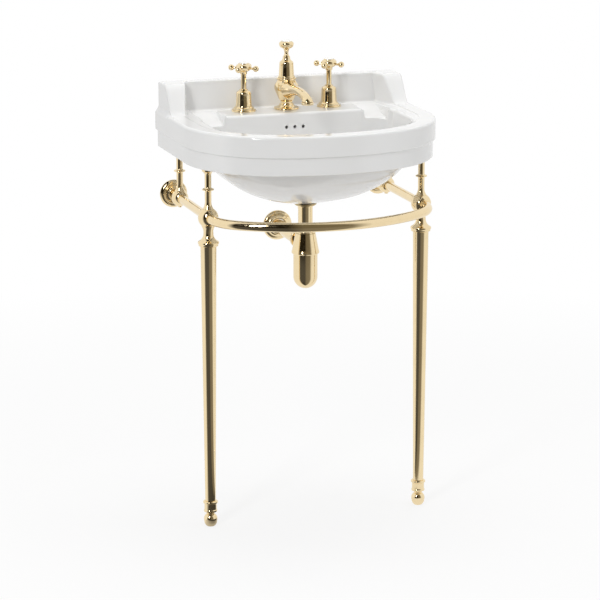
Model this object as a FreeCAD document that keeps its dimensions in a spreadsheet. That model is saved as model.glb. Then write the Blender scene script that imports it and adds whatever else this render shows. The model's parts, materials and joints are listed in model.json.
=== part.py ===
"""Console sink with legs: a glazed basin on a turned brass wash-stand, with a three-hole mixer,
a lever-worked plug and a bottle trap. Millimetres, +Z up, wall plane at +Y, floor at Z 0."""
import FreeCAD
import Part
import Sketcher
import math
import os

SIZES = {
    # overall
    "overall_depth": 460.0,
    "basin_width": 570.0,
    "basin_depth": 448.0,
    "rim_height": 891.0,
    # basin: outer bands
    "lower_band_bottom": 806.0,
    "band_step_height": 845.0,
    "band_step": 5.5,
    "bow_depth": 230.0,
    "bow_corner": 219.0,
    "rim_round": 6.0,
    "band_round": 2.5,
    # basin: upstand, deck and border
    "upstand_height": 62.0,
    "upstand_inset": 8.0,
    "cheek_top_depth": 60.0,
    "cheek_foot_depth": 104.0,
    "cheek_width": 32.0,
    "back_top_depth": 22.0,
    "cheek_splay": 24.0,
    "upstand_round": 4.0,
    "border_width": 37.0,
    "deck_drop": 3.0,
    "deck_thick": 14.0,
    "apron_thick": 18.0,
    "recess_inner": 163.0,
    "recess_outer": 216.0,
    "recess_fall": 28.0,
    # basin: bowl
    "mouth_half_width": 222.0,
    "mouth_bow_depth": 152.0,
    "mouth_corner": 137.0,
    "mouth_back_round": 36.0,
    "mouth_back_setback": 130.0,
    "mouth_front_inset": 48.0,
    "bowl_depth": 172.0,
    "bowl_wall": 12.0,
    "lip_round": 7.0,
    "overflow_hole_drop": 31.0,
    "overflow_hole_radius": 3.8,
    "overflow_hole_spacing": 19.5,
    "overflow_half_width": 27.0,
    "post_boss_radius": 24.0,
    "wall_bolt_span": 280.0,
    "wall_bolt_height": 826.0,
    "wall_bolt_radius": 5.0,
    # stand
    "leg_inset": 40.0,
    "leg_setback": 278.0,
    "rear_setback": 54.0,
    "rail_height": 697.0,
    "foot_ball_radius": 14.5,
    "foot_height": 58.0,
    "foot_ring_radius": 16.3,
    "leg_foot_radius": 11.7,
    "leg_head_radius": 17.5,
    "leg_wall": 2.5,
    "collar_radius": 22.6,
    "collar_height": 634.0,
    "vase_neck_radius": 10.8,
    "hub_radius": 22.3,
    "rear_hub_radius": 19.0,
    "post_radius": 7.2,
    "post_bead_radius": 12.3,
    "post_bead_drop": 47.0,
    "post_cup_radius": 12.8,
    "side_rail_radius": 10.0,
    "bow_rail_radius": 10.3,
    "bow_rail_corner": 100.0,
    "rail_socket": 8.0,
    "flange_radius": 31.5,
    "flange_thick": 7.0,
    # mixer
    "tap_span": 200.0,
    "tap_setback": 70.0,
    "tap_hole_radius": 14.0,
    "spout_hole_radius": 17.0,
    "valve_flange_radius": 27.4,
    "bell_radius": 17.6,
    "bell_height": 49.0,
    "spindle_radius": 6.1,
    "handle_height": 96.0,
    "handle_radius": 17.2,
    "handle_reach": 29.5,
    "handle_ball_radius": 6.7,
    "handle_turn": -40.0,
    "index_radius": 10.0,
    "spout_flange_radius": 28.4,
    "spout_belly_radius": 26.2,
    "spout_height": 70.0,
    "spout_reach": 150.0,
    "spout_nose_radius": 12.8,
    "bonnet_radius": 17.3,
    "bonnet_height": 41.0,
    "knob_radius": 15.0,
    "knob_rise": 34.0,
    "lift_rod_radius": 2.5,
    # waste and trap
    "waste_setback": 205.0,
    "waste_hole_radius": 22.5,
    "tail_radius": 16.2,
    "tail_wall": 1.6,
    "lever_height": 684.0,
    "lever_pivot": 20.0,
    "lever_port_radius": 8.0,
    "lever_ball_radius": 5.0,
    "lever_rod_radius": 2.3,
    "lever_slope": 3.4,
    "plug_rise": 5.0,
    "trap_top": 632.0,
    "trap_cone_top_radius": 22.5,
    "trap_cone_radius": 31.0,
    "trap_cone_height": 46.0,
    "trap_cup_radius": 27.0,
    "trap_cup_height": 80.0,
    "outlet_height": 608.0,
    "outlet_radius": 16.0,
    "escutcheon_radius": 34.2,
    # shared clearances
    "seat_gap": 0.3,
    "running_fit": 0.05,
}

SHEET = "Sizes"
UP = FreeCAD.Rotation()
FROM_WALL = FreeCAD.Rotation(FreeCAD.Vector(1, 0, 0), 90)
TO_WALL = FreeCAD.Rotation(FreeCAD.Vector(1, 0, 0), -90)
TO_RIGHT = FreeCAD.Rotation(FreeCAD.Vector(0, 1, 0), 90)
BOWL_STATIONS = (
    # drop as a share of the bowl's depth, width as a share of its mouth
    (0.0, 1.0),
    (0.3, 0.97),
    (0.5, 0.905),
    (0.64, 0.82),
    (0.78, 0.67),
    (0.88, 0.51),
    (0.945, 0.34),
    (1.0, 0.15),
)
FULL_TURN = 360.0


class Size:
    """A length with its number and the sheet expression that gives it."""

    def __init__(self, value, text):
        self.value = value
        self.text = text

    def _join(self, other, sign, value):
        return Size(value, f"({self.text} {sign} {as_size(other).text})")

    def __add__(self, other):
        return self._join(other, "+", self.value + as_size(other).value)

    def __sub__(self, other):
        return self._join(other, "-", self.value - as_size(other).value)

    def __mul__(self, other):
        return self._join(other, "*", self.value * as_size(other).value)

    def __truediv__(self, other):
        return self._join(other, "/", self.value / as_size(other).value)

    def __radd__(self, other):
        return as_size(other) + self

    def __rsub__(self, other):
        return as_size(other) - self

    def __rmul__(self, other):
        return as_size(other) * self

    def __neg__(self):
        return as_size(0.0) - self

    def root(self):
        """Square root."""
        return Size(math.sqrt(self.value), f"sqrt({self.text})")


def as_size(number):
    """Wraps a bare number so that it can stand beside sheet sizes."""
    return number if isinstance(number, Size) else Size(float(number), repr(float(number)))


NIL = as_size(0.0)


def dome_radius(reach, rise):
    """Radius of a dome of the given half-width and rise, centred on the turning axis."""
    return (reach * reach + rise * rise) / (rise * 2.0)


def make_sheet(doc):
    """Writes every driving size into the sheet and returns them by name."""
    sheet = doc.addObject("Spreadsheet::Sheet", SHEET)
    named = {}
    for row, (alias, value) in enumerate(SIZES.items(), start=1):
        sheet.set(f"A{row}", alias)
        sheet.set(f"B{row}", str(value))
        sheet.setAlias(f"B{row}", alias)
        named[alias] = Size(value, f"{SHEET}.{alias}")
    doc.recompute()
    return named


# ---------------------------------------------------------------- sketches and features


def new_body(doc, label):
    """Adds an empty body for one piece."""
    body = doc.addObject("PartDesign::Body", label)
    body.Label = label
    return body


def place(thing, x, y, z, turn=UP):
    """Stands a piece at a sheet-driven point, turned as given."""
    thing.Placement = FreeCAD.Placement(FreeCAD.Vector(x.value, y.value, z.value), turn)
    for axis, size in (("x", x), ("y", y), ("z", z)):
        thing.setExpression(f".Placement.Base.{axis}", size.text)


def new_sketch(body, name, plane, height=None):
    """Adds a sketch on one of the body's origin planes, at a height above it."""
    sketch = body.newObject("Sketcher::SketchObject", name)
    support = next(f for f in body.Origin.OriginFeatures if f.Role == plane)
    sketch.AttachmentSupport = (support, [""])
    sketch.MapMode = "FlatFace"
    if height is not None:
        sketch.setExpression(".AttachmentOffset.Base.z", height.text)
    return sketch


def bend_radius(start, end, bend):
    """Radius of a bent edge, given as a size or as a share of the edge's own chord."""
    if isinstance(bend, Size):
        return bend
    across = end[0] - start[0]
    along = end[1] - start[1]
    return (across * across + along * along).root() * bend


def arc_centre(start, end, radius):
    """Centre of the minor arc; a positive radius curves to the left of the way it is drawn."""
    dx = end[0].value - start[0].value
    dy = end[1].value - start[1].value
    chord = math.hypot(dx, dy)
    rise = math.sqrt(max(radius.value**2 - (chord / 2) ** 2, 0.0))
    side = math.copysign(rise, radius.value)
    mid_x = (start[0].value + end[0].value) / 2
    mid_y = (start[1].value + end[1].value) / 2
    return FreeCAD.Vector(mid_x - dy / chord * side, mid_y + dx / chord * side, 0)


def draw(sketch, outline, closed=True):
    """Draws an outline of (across, along) points; a third entry bends the edge that follows."""
    count = len(outline)
    heads = []
    tails = []
    for index in range(count if closed else count - 1):
        point = outline[index]
        following = outline[(index + 1) % count]
        start = FreeCAD.Vector(point[0].value, point[1].value, 0)
        end = FreeCAD.Vector(following[0].value, following[1].value, 0)
        if len(point) == 2:
            edge = sketch.addGeometry(Part.LineSegment(start, end), False)
            heads.append((edge, 1))
            tails.append((edge, 2))
            continue
        radius = bend_radius(point, following, point[2])
        leftward = radius.value > 0
        centre = arc_centre(point, following, radius)
        first, last = (start, end) if leftward else (end, start)
        from_angle = math.atan2(first.y - centre.y, first.x - centre.x)
        to_angle = math.atan2(last.y - centre.y, last.x - centre.x)
        circle = Part.Circle(centre, FreeCAD.Vector(0, 0, 1), abs(radius.value))
        edge = sketch.addGeometry(Part.ArcOfCircle(circle, from_angle, to_angle), False)
        heads.append((edge, 1 if leftward else 2))
        tails.append((edge, 2 if leftward else 1))
        hold_size(sketch, radius if leftward else -radius, "Radius", edge)
    for index, point in enumerate(outline):
        joined = index > 0 or closed
        if joined and index < len(heads):
            sketch.addConstraint(Sketcher.Constraint("Coincident", *tails[index - 1], *heads[index]))
        corner = heads[index] if index < len(heads) else tails[-1]
        hold_size(sketch, point[0], "DistanceX", -1, 1, *corner)
        hold_size(sketch, point[1], "DistanceY", -1, 1, *corner)


def hold_size(sketch, size, kind, *places):
    """Adds one dimension to a sketch and binds it to the sheet."""
    number = sketch.addConstraint(Sketcher.Constraint(kind, *places, size.value))
    sketch.setExpression(f"Constraints[{number}]", size.text)


def draw_circle(sketch, across, along, radius):
    """Draws a circle round a sheet-driven centre."""
    centre = FreeCAD.Vector(across.value, along.value, 0)
    ring = sketch.addGeometry(Part.Circle(centre, FreeCAD.Vector(0, 0, 1), radius.value), False)
    hold_size(sketch, radius, "Radius", ring)
    hold_size(sketch, across, "DistanceX", -1, 1, ring, 3)
    hold_size(sketch, along, "DistanceY", -1, 1, ring, 3)


def rectangle(left, right, low, high):
    """Outline of an upright rectangle."""
    return [(left, low), (right, low), (right, high), (left, high)]


def turn_profile(body, name, outline):
    """Revolves an outline of (radius, height) points round the piece's own Z axis."""
    sketch = new_sketch(body, name, "XZ_Plane")
    draw(sketch, outline)
    feature = body.newObject("PartDesign::Revolution", f"{name}_turned")
    feature.Profile = sketch
    feature.ReferenceAxis = (sketch, ["V_Axis"])
    feature.Angle = FULL_TURN
    return feature


def turned(doc, label, outline, x, y, z, turn=UP):
    """One lathe-turned piece."""
    body = new_body(doc, label)
    turn_profile(body, f"{label}_profile", outline)
    place(body, x, y, z, turn)
    return body


def pad(body, sketch, length, both_ways=False, reverse=False):
    """Raises a sketch by a sheet-driven length."""
    feature = body.newObject("PartDesign::Pad", f"{sketch.Name}_pad")
    feature.Profile = sketch
    feature.setExpression("Length", length.text)
    feature.Midplane = both_ways
    feature.Reversed = reverse
    return feature


def pocket(doc, body, sketch, length, both_ways=False, reverse=False):
    """Cuts a sketch by a sheet-driven length and makes sure that the cut meets the solid."""
    doc.recompute()
    before = body.Shape.Volume
    feature = body.newObject("PartDesign::Pocket", f"{sketch.Name}_cut")
    feature.Profile = sketch
    feature.setExpression("Length", length.text)
    feature.Midplane = both_ways
    feature.Reversed = reverse
    doc.recompute()
    if body.Shape.Volume > before - 1.0:
        raise RuntimeError(f"{feature.Name} cuts nothing")
    return feature


def drill(doc, body, name, plane, centre, radius, length, **ways):
    """Cuts a round hole of a sheet-driven radius."""
    sketch = new_sketch(body, name, plane)
    draw_circle(sketch, centre[0], centre[1], radius)
    return pocket(doc, body, sketch, length, **ways)


def loft(body, name, sections, cut=False, ruled=False):
    """Lofts through outlines at their heights: (height, outline) pairs."""
    sketches = []
    for index, (height, outline) in enumerate(sections):
        sketch = new_sketch(body, f"{name}_{index}", "XY_Plane", height)
        draw(sketch, outline)
        sketches.append(sketch)
    kind = "PartDesign::SubtractiveLoft" if cut else "PartDesign::AdditiveLoft"
    feature = body.newObject(kind, f"{name}_loft")
    feature.Profile = sketches[0]
    feature.Sections = sketches[1:]
    feature.Ruled = ruled
    return feature


def round_edges(doc, body, name, radius, wanted):
    """Fillets the edges of the body's last feature for which wanted(edge) holds."""
    doc.recompute()
    tip = body.Tip
    found = [f"Edge{i}" for i, edge in enumerate(tip.Shape.Edges, start=1) if wanted(edge)]
    if not found:
        raise RuntimeError(f"{name} finds no edge")
    feature = body.newObject("PartDesign::Fillet", name)
    feature.Base = (tip, found)
    feature.setExpression("Radius", radius.text)
    return feature


# ---------------------------------------------------------------- outlines


def bow(half_width, spring, depth, corner):
    """The three-arc bow of the front: corner arcs from the spring line into one wide front arc."""
    gap = half_width - corner
    front = (half_width * half_width - 2 * half_width * corner + depth * depth) / (
        2 * (depth - corner)
    )
    across = gap * front / (front - corner)
    along = spring - corner * (front - depth) / (front - corner)
    return [
        (-half_width, spring, corner),
        (-across, along, front),
        (across, along, corner),
        (half_width, spring),
    ]


def basin_outline(size, inset, back_inset):
    """Plan of the basin, moved inwards round the front and from the wall."""
    wall = size["overall_depth"] / 2
    half = size["basin_width"] / 2 - inset
    spring = wall - size["basin_depth"] + size["bow_depth"]
    front = bow(half, spring, size["bow_depth"] - inset, size["bow_corner"] - inset)
    return front + [(half, wall - back_inset), (-half, wall - back_inset)]


def bowl_outline(size, grow, share):
    """Plan of the bowl, grown all round and drawn in towards the waste by a share."""
    wall = size["overall_depth"] / 2
    waste = wall - size["waste_setback"]
    half = (size["mouth_half_width"] + grow) * share
    front_edge = wall - size["basin_depth"] + size["mouth_front_inset"]
    spring = waste + (front_edge + size["mouth_bow_depth"] - waste) * share
    back = waste + (wall - size["mouth_back_setback"] + grow - waste) * share
    bend = size["mouth_back_round"] * share
    depth = (size["mouth_bow_depth"] + grow) * share
    front = bow(half, spring, depth, (size["mouth_corner"] + grow) * share)
    return front + [
        (half, back - bend, bend),
        (half - bend, back),
        (-half + bend, back, bend),
        (-half, back - bend),
    ]


def bowl_sections(size, top, depth, grow):
    """Sections of the bowl from its mouth down to the waste."""
    return [
        (top - depth * drop, bowl_outline(size, grow, share)) for drop, share in BOWL_STATIONS
    ]


# ---------------------------------------------------------------- basin


def level(edge, height):
    """True for an edge that lies flat at a height."""
    box = edge.BoundBox
    return abs(box.ZMin - height.value) < 0.01 and abs(box.ZMax - height.value) < 0.01


def off_wall(edge):
    """True for an edge that doesn't lie straight along the wall."""
    return edge.BoundBox.YMax - edge.BoundBox.YMin > 0.01


def outermost(edge, height, size):
    """True for a flat edge of the basin's full outline, its wall side left out."""
    half = size["basin_width"].value / 2
    bow_front = size["overall_depth"].value / 2 - size["basin_depth"].value
    box = edge.BoundBox
    widest = max(abs(box.XMin), abs(box.XMax))
    return level(edge, height) and (
        abs(widest - half) < 0.01 and box.YMax - box.YMin > 0.01 or abs(box.YMin - bow_front) < 0.01
    )


def proud(edge, rim, wall):
    """True for the upstand's long edges above the rim, those at the wall left out."""
    box = edge.BoundBox
    above = box.ZMax > rim.value + 1.0 and box.ZMin > rim.value - 1.5
    return above and box.YMin < wall.value - 1.0


def inner_crest(edge, crest, wall):
    """True for the crest's inner edges and the cheeks' front corners."""
    box = edge.BoundBox
    return (
        abs(box.ZMax - crest.value) < 0.01 and abs(box.ZMin - crest.value) < 0.01
        and box.YMax < wall.value - 1.0
    )


def basin_shell(doc, size, body, levels):
    """Outer bands, upstand and hollow underside with the post bosses and the bowl's outside."""
    wall, rim, deck, waste = levels
    bottom = size["lower_band_bottom"]
    step = size["band_step_height"]
    roof = deck - size["deck_thick"]
    lower = new_sketch(body, "lower_band", "XY_Plane", bottom)
    draw(lower, basin_outline(size, size["band_step"], NIL))
    pad(body, lower, step - bottom)
    soft = size["band_round"]
    round_edges(doc, body, "foot_round", soft, lambda edge: level(edge, bottom) and off_wall(edge))
    upper = new_sketch(body, "upper_band", "XY_Plane", step)
    draw(upper, basin_outline(size, NIL, NIL))
    pad(body, upper, rim - step)
    round_edges(doc, body, "step_round", soft, lambda edge: outermost(edge, step, size))
    round_edges(doc, body, "rim_round", size["rim_round"], lambda edge: outermost(edge, rim, size))

    sunk = new_sketch(body, "deck", "XY_Plane", rim)
    draw(sunk, basin_outline(size, size["border_width"], size["border_width"]))
    pocket(doc, body, sunk, size["deck_drop"])

    crest = rim + size["upstand_height"]
    foot = wall - size["cheek_foot_depth"]
    upstand = new_sketch(body, "upstand", "YZ_Plane")
    draw(
        upstand,
        [
            (wall, roof),
            (wall, crest),
            (wall - size["cheek_top_depth"], crest),
            (foot, rim - 1.0),
            (foot, roof),
        ],
    )
    pad(body, upstand, size["basin_width"] - 2 * size["upstand_inset"], both_ways=True)
    curb = size["upstand_round"]
    round_edges(doc, body, "upstand_round", curb, lambda edge: proud(edge, rim, wall))

    inset = size["band_step"] + size["apron_thick"]
    hollow = new_sketch(body, "underside", "XY_Plane", bottom)
    draw(hollow, basin_outline(size, inset, size["apron_thick"]))
    pocket(doc, body, hollow, roof - bottom, reverse=True)

    shell = size["bowl_wall"]
    loft(body, "bowl_shell", bowl_sections(size, deck - 1.0, size["bowl_depth"] + shell, shell))

    bosses = new_sketch(body, "post_bosses", "XY_Plane", bottom)
    for side in (-1, 1):
        for setback in ("leg_setback", "rear_setback"):
            across = (size["basin_width"] / 2 - size["leg_inset"]) * side
            draw_circle(bosses, across, wall - size[setback], size["post_boss_radius"])
    pad(body, bosses, roof + size["deck_thick"] / 2 - bottom)

    back = wall - size["mouth_back_setback"]
    floor = deck - size["bowl_depth"]
    half = size["overflow_half_width"]
    housing = (
        (roof + 2.0, back - 6.0, back + 24.0),
        (deck - size["bowl_depth"] * 0.62, back - 20.0, back + 14.0),
        (deck - size["bowl_depth"] * 0.83, back - 38.0, back),
        (floor - shell - 1.0, waste + 6.0, waste + 44.0),
    )
    loft(
        body,
        "overflow_housing",
        [
            (height, rectangle(-half - 8.0, half + 8.0, front, rear))
            for height, front, rear in housing
        ],
        ruled=True,
    )


def recess_outline(size, start, deck, back, below):
    """Side view of a corner recess that falls from the upstand's foot to the bowl."""
    low = back - 20.0
    return [
        (start, deck - below),
        (low, deck - size["recess_fall"] - below),
        (low, deck),
        (start, deck),
    ]


def make_basin(doc, size):
    """The glazed basin, with its sunk deck, bowl, overflow and fitting holes."""
    body = new_body(doc, "basin")
    wall = size["overall_depth"] / 2
    rim = size["rim_height"]
    deck = rim - size["deck_drop"]
    waste = wall - size["waste_setback"]
    back = wall - size["mouth_back_setback"]
    floor = deck - size["bowl_depth"]
    basin_shell(doc, size, body, (wall, rim, deck, waste))

    back_foot = wall - size["border_width"]
    recess_start = back_foot - 4.0
    shell = size["bowl_wall"]
    for side, name in ((-1, "left"), (1, "right")):
        near = size["recess_inner"] - shell if side > 0 else -size["recess_outer"] - shell
        under = new_sketch(body, f"recess_shell_{name}", "YZ_Plane", near)
        draw(under, recess_outline(size, recess_start, deck - 1.0, back, shell))
        pad(body, under, size["recess_outer"] - size["recess_inner"] + 2 * shell)

    inner = size["basin_width"] / 2 - size["upstand_inset"] - size["cheek_width"]
    front_foot = wall - size["cheek_foot_depth"] - 1.0
    far = inner - size["cheek_splay"]
    crest = rim + size["upstand_height"]
    loft(
        body,
        "upstand_inside",
        [
            (height, [(-inner, front_foot), (inner, front_foot), (far, rear), (-far, rear)])
            for height, rear in ((deck, back_foot), (crest + 1.0, wall - size["back_top_depth"]))
        ],
        cut=True,
    )

    round_edges(
        doc, body, "inside_round", size["upstand_round"], lambda edge: inner_crest(edge, crest, wall)
    )

    for side, name in ((-1, "left"), (1, "right")):
        near = size["recess_inner"] if side > 0 else -size["recess_outer"]
        recess = new_sketch(body, f"recess_{name}", "YZ_Plane", near)
        draw(recess, recess_outline(size, recess_start, deck, back, NIL)[:2] + [(back - 20.0, deck)])
        pocket(doc, body, recess, size["recess_outer"] - size["recess_inner"], reverse=True)

    loft(
        body,
        "bowl_inside",
        bowl_sections(size, deck + 0.5, size["bowl_depth"], NIL),
        cut=True,
    )
    lip = size["lip_round"]
    rows = ((deck + 0.5, lip * 1.1), (deck - lip * 0.25, lip * 0.42), (deck - lip, NIL))
    loft(
        body,
        "bowl_lip",
        [(height, bowl_outline(size, grow, as_size(1.0))) for height, grow in rows],
        cut=True,
        ruled=True,
    )
    basin_holes(doc, size, body, (wall, deck, waste, back, floor))
    return body


def basin_holes(doc, size, body, levels):
    """Waste seat and hole, tap holes, overflow holes with their way down, and wall bolt holes."""
    wall, deck, waste, back, floor = levels
    seat = new_sketch(body, "waste_seat", "XY_Plane", floor)
    draw_circle(seat, NIL, waste, size["waste_hole_radius"] + 9.0)
    pocket(doc, body, seat, as_size(30.0), reverse=True)
    drill(
        doc, body, "waste_hole", "XY_Plane", (NIL, waste), size["waste_hole_radius"],
        deck, reverse=True,
    )

    taps = new_sketch(body, "tap_holes", "XY_Plane", deck + 1.0)
    line = wall - size["tap_setback"]
    draw_circle(taps, NIL, line, size["spout_hole_radius"])
    for side in (-1, 1):
        draw_circle(taps, size["tap_span"] / 2 * side, line, size["tap_hole_radius"])
    pocket(doc, body, taps, size["deck_thick"] * 2)

    half = size["overflow_half_width"]
    drop = size["bowl_depth"]
    way = (
        (deck - size["overflow_hole_drop"] + 8.0, back + 7.0, back + 15.0),
        (deck - drop * 0.62, back - 5.0, back + 5.0),
        (deck - drop * 0.83, back - 21.0, back - 9.0),
        (floor - 5.0, waste + 29.0, waste + 37.0),
    )
    loft(
        body,
        "overflow_way",
        [(height, rectangle(-half, half, front, rear)) for height, front, rear in way],
        cut=True,
        ruled=True,
    )
    foot = new_sketch(body, "overflow_foot", "XY_Plane", floor - 11.0)
    draw(foot, rectangle(-half / 2, half / 2, waste + 18.0, waste + 37.0))
    pocket(doc, body, foot, as_size(7.0), reverse=True)
    holes = new_sketch(body, "overflow_holes", "XZ_Plane", -(back + 10.0))
    for place_number in (-1, 0, 1):
        across = size["overflow_hole_spacing"] * place_number
        draw_circle(holes, across, deck - size["overflow_hole_drop"], size["overflow_hole_radius"])
    pocket(doc, body, holes, as_size(30.0), reverse=True)

    bolts = new_sketch(body, "wall_bolt_holes", "XZ_Plane", -(wall + 1.0))
    for side in (-1, 1):
        across = size["wall_bolt_span"] / 2 * side
        draw_circle(bolts, across, size["wall_bolt_height"], size["wall_bolt_radius"])
    pocket(doc, body, bolts, size["apron_thick"] + 4.0, reverse=True)


# ---------------------------------------------------------------- wash-stand

def leg_places(size):
    """The two front legs: side name and distance across."""
    across = size["basin_width"] / 2 - size["leg_inset"]
    return (("left", -across), ("right", across))


def make_leg(doc, size, side, across, along):
    """Ball foot, tapered tube leg and the turned hub above it."""
    ball = size["foot_ball_radius"]
    ring = size["foot_ring_radius"]
    top = size["foot_height"]
    neck = ball * 0.6
    shoulder = top - 23.0
    bore = size["leg_foot_radius"] - size["leg_wall"] - size["running_fit"]
    foot = turned(
        doc,
        f"foot_{side}",
        [
            (NIL, NIL),
            (ball * 0.6, NIL, ball),
            (ball, ball * 0.8, ball),
            (neck, shoulder - 7.0, -0.75),
            (ring - 1.5, shoulder - 1.5),
            (ring - 1.5, shoulder + 2.0),
            (ring - 2.6, shoulder + 3.5),
            (ring - 2.6, top - 6.0),
            (ring, top - 4.5),
            (ring, top - 1.5),
            (ring - 1.5, top),
            (bore, top),
            (bore, top + 22.0),
            (NIL, top + 22.0),
        ],
        across,
        along,
        NIL,
    )
    head = size["collar_height"]
    foot_radius = size["leg_foot_radius"]
    head_radius = size["leg_head_radius"]
    leg = turned(
        doc,
        f"leg_{side}",
        [
            (foot_radius - size["leg_wall"], top),
            (foot_radius, top),
            (head_radius, head),
            (head_radius - size["leg_wall"], head),
        ],
        across,
        along,
        NIL,
    )
    return [foot, leg, make_front_hub(doc, size, side, across, along)]


def make_front_hub(doc, size, side, across, along):
    """Collar, vase neck and ball hub in one turning, bored for the side rail and the bow rail."""
    label = f"front_hub_{side}"
    hub = size["hub_radius"]
    collar = size["collar_radius"]
    neck = size["vase_neck_radius"]
    low = size["collar_height"]
    centre = size["rail_height"]
    spigot = size["leg_head_radius"] - size["leg_wall"] - 1.0
    body = new_body(doc, label)
    turn_profile(
        body,
        f"{label}_profile",
        [
            (NIL, low - 16.0),
            (spigot, low - 16.0),
            (spigot, low),
            (collar - 3.5, low),
            (collar - 1.0, low + 1.5),
            (collar - 1.0, low + 4.0),
            (collar, low + 6.0, 0.7),
            (collar - 1.2, low + 11.0),
            (collar - 4.5, low + 13.0, -1.1),
            (neck, low + 29.0, -1.5),
            (neck + 3.4, low + 43.0),
            (neck + 4.4, centre - hub * 0.75, hub),
            (hub, centre, hub),
            (neck + 1.2, centre + hub * 0.84),
            (NIL, centre + hub * 0.84),
        ],
    )
    place(body, across, along, NIL)
    seat = hub - size["rail_socket"]
    fit = size["running_fit"]
    for name, radius, reverse in (
        ("side", size["side_rail_radius"], True),
        ("bow", size["bow_rail_radius"], False),
    ):
        socket = new_sketch(body, f"{label}_{name}_socket", "XZ_Plane")
        socket.setExpression(
            ".AttachmentOffset.Base.z", (seat if name == "bow" else -seat).text
        )
        draw_circle(socket, NIL, centre, radius + fit)
        pocket(doc, body, socket, hub, reverse=not reverse)
    return body


def make_post(doc, size, name, across, along, base, flare):
    """Turned post from a hub up to the basin: flare, bead and cup."""
    radius = size["post_radius"]
    bead = size["post_bead_radius"]
    cup = size["post_cup_radius"]
    top = size["lower_band_bottom"] - size["seat_gap"]
    middle = top - size["post_bead_drop"]
    return turned(
        doc,
        name,
        [
            (NIL, base),
            (flare, base, -1.4),
            (radius, base + 19.0),
            (radius, middle - 5.0, -0.8),
            (bead - 1.8, middle - 2.0),
            (bead, middle - 1.3, 0.7),
            (bead, middle + 1.3),
            (bead - 1.8, middle + 2.0, -0.8),
            (radius, middle + 5.0),
            (radius, top - 17.0, -0.9),
            (cup - 1.6, top - 8.0),
            (cup, top - 7.0),
            (cup, top),
            (NIL, top),
        ],
        across,
        along,
        NIL,
    )


def make_rear_hub(doc, size, side, across, along):
    """Ball hub near the wall, bored for the side rail and carrying the stub that meets the wall."""
    label = f"rear_hub_{side}"
    ball = size["rear_hub_radius"]
    centre = size["rail_height"]
    stub = size["side_rail_radius"]
    body = new_body(doc, label)
    turn_profile(
        body,
        f"{label}_profile",
        [
            (NIL, centre - ball - 3.0),
            (as_size(4.0), centre - ball - 2.0),
            (as_size(5.2), centre - ball * 0.96, ball),
            (ball, centre, ball),
            (ball * 0.65, centre + ball * 0.76),
            (NIL, centre + ball * 0.76),
        ],
    )
    place(body, across, along, NIL)
    reach = new_sketch(body, f"{label}_stub", "XZ_Plane")
    draw_circle(reach, NIL, centre, stub)
    pad(body, reach, size["rear_setback"] - size["flange_thick"] - size["seat_gap"], reverse=True)
    socket = new_sketch(body, f"{label}_socket", "XZ_Plane")
    socket.setExpression(".AttachmentOffset.Base.z", (ball - size["rail_socket"]).text)
    draw_circle(socket, NIL, centre, size["side_rail_radius"] + size["running_fit"])
    pocket(doc, body, socket, ball, reverse=True)
    return body


def make_wall_flange(doc, size, side, across, wall):
    """Stepped round flange with the stub's socket ring and a hanger-bolt hole."""
    disc = size["flange_radius"]
    thick = size["flange_thick"]
    stub = size["side_rail_radius"]
    hole = as_size(4.2)
    return turned(
        doc,
        f"wall_flange_{side}",
        [
            (hole, NIL),
            (disc, NIL),
            (disc, thick * 0.35),
            (disc - 2.0, thick * 0.6, 1.2),
            (disc - 9.0, thick),
            (disc - 10.0, thick + 1.2),
            (disc - 11.5, thick + 1.2),
            (disc - 12.5, thick - 0.6),
            (stub + 4.0, thick + 0.8),
            (stub + 4.0, thick + 4.5),
            (stub + 3.0, thick + 5.5),
            (stub + size["running_fit"], thick + 5.5),
            (stub + size["running_fit"], thick),
            (hole, thick),
        ],
        across,
        wall,
        size["rail_height"],
        FROM_WALL,
    )


def make_side_rail(doc, size, side, across, along):
    """Straight tube between the front and rear hubs."""
    rail = doc.addObject("Part::Cylinder", f"side_rail_{side}")
    rail.Label = f"side_rail_{side}"
    start = size["hub_radius"] - size["rail_socket"] + size["seat_gap"]
    end = size["rear_hub_radius"] - size["rail_socket"] + size["seat_gap"]
    run = size["leg_setback"] - size["rear_setback"] - start - end
    rail.setExpression("Radius", size["side_rail_radius"].text)
    rail.setExpression("Height", run.text)
    place(rail, across, along + start + run, size["rail_height"], FROM_WALL)
    return rail


def make_bow_rail(doc, size, along):
    """Round bar bent to the bow of the basin between the two front hubs."""
    body = new_body(doc, "bow_rail")
    bar = size["bow_rail_radius"]
    start = size["hub_radius"] - size["rail_socket"] + size["seat_gap"]
    straight = size["hub_radius"] + size["seat_gap"]
    half = size["basin_width"] / 2 - size["leg_inset"]
    reach = size["overall_depth"] - size["leg_setback"] - bar - straight
    path = new_sketch(body, "bow_path", "XY_Plane")
    curve = bow(half, -straight, reach, size["bow_rail_corner"])
    draw(path, [(-half, -start)] + curve + [(half, -start)], closed=False)
    section = new_sketch(body, "bow_section", "XZ_Plane")
    section.setExpression(".AttachmentOffset.Base.z", start.text)
    draw_circle(section, -half, NIL, bar)
    pipe = body.newObject("PartDesign::AdditivePipe", "bow_pipe")
    pipe.Profile = section
    pipe.Spine = path
    place(body, NIL, along, size["rail_height"])
    return body


# ---------------------------------------------------------------- mixer


def hex_ring(doc, label, across_corners, bore, low, tall, x, y, z):
    """Hexagonal nut with a plain bore."""
    body = new_body(doc, label)
    sketch = new_sketch(body, f"{label}_outline", "XY_Plane", low)
    corners = [math.radians(60.0 * i) for i in range(6)]
    draw(sketch, [(across_corners * math.cos(a), across_corners * math.sin(a)) for a in corners])
    draw_circle(sketch, NIL, NIL, bore)
    pad(body, sketch, tall)
    place(body, x, y, z)
    return body


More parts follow.
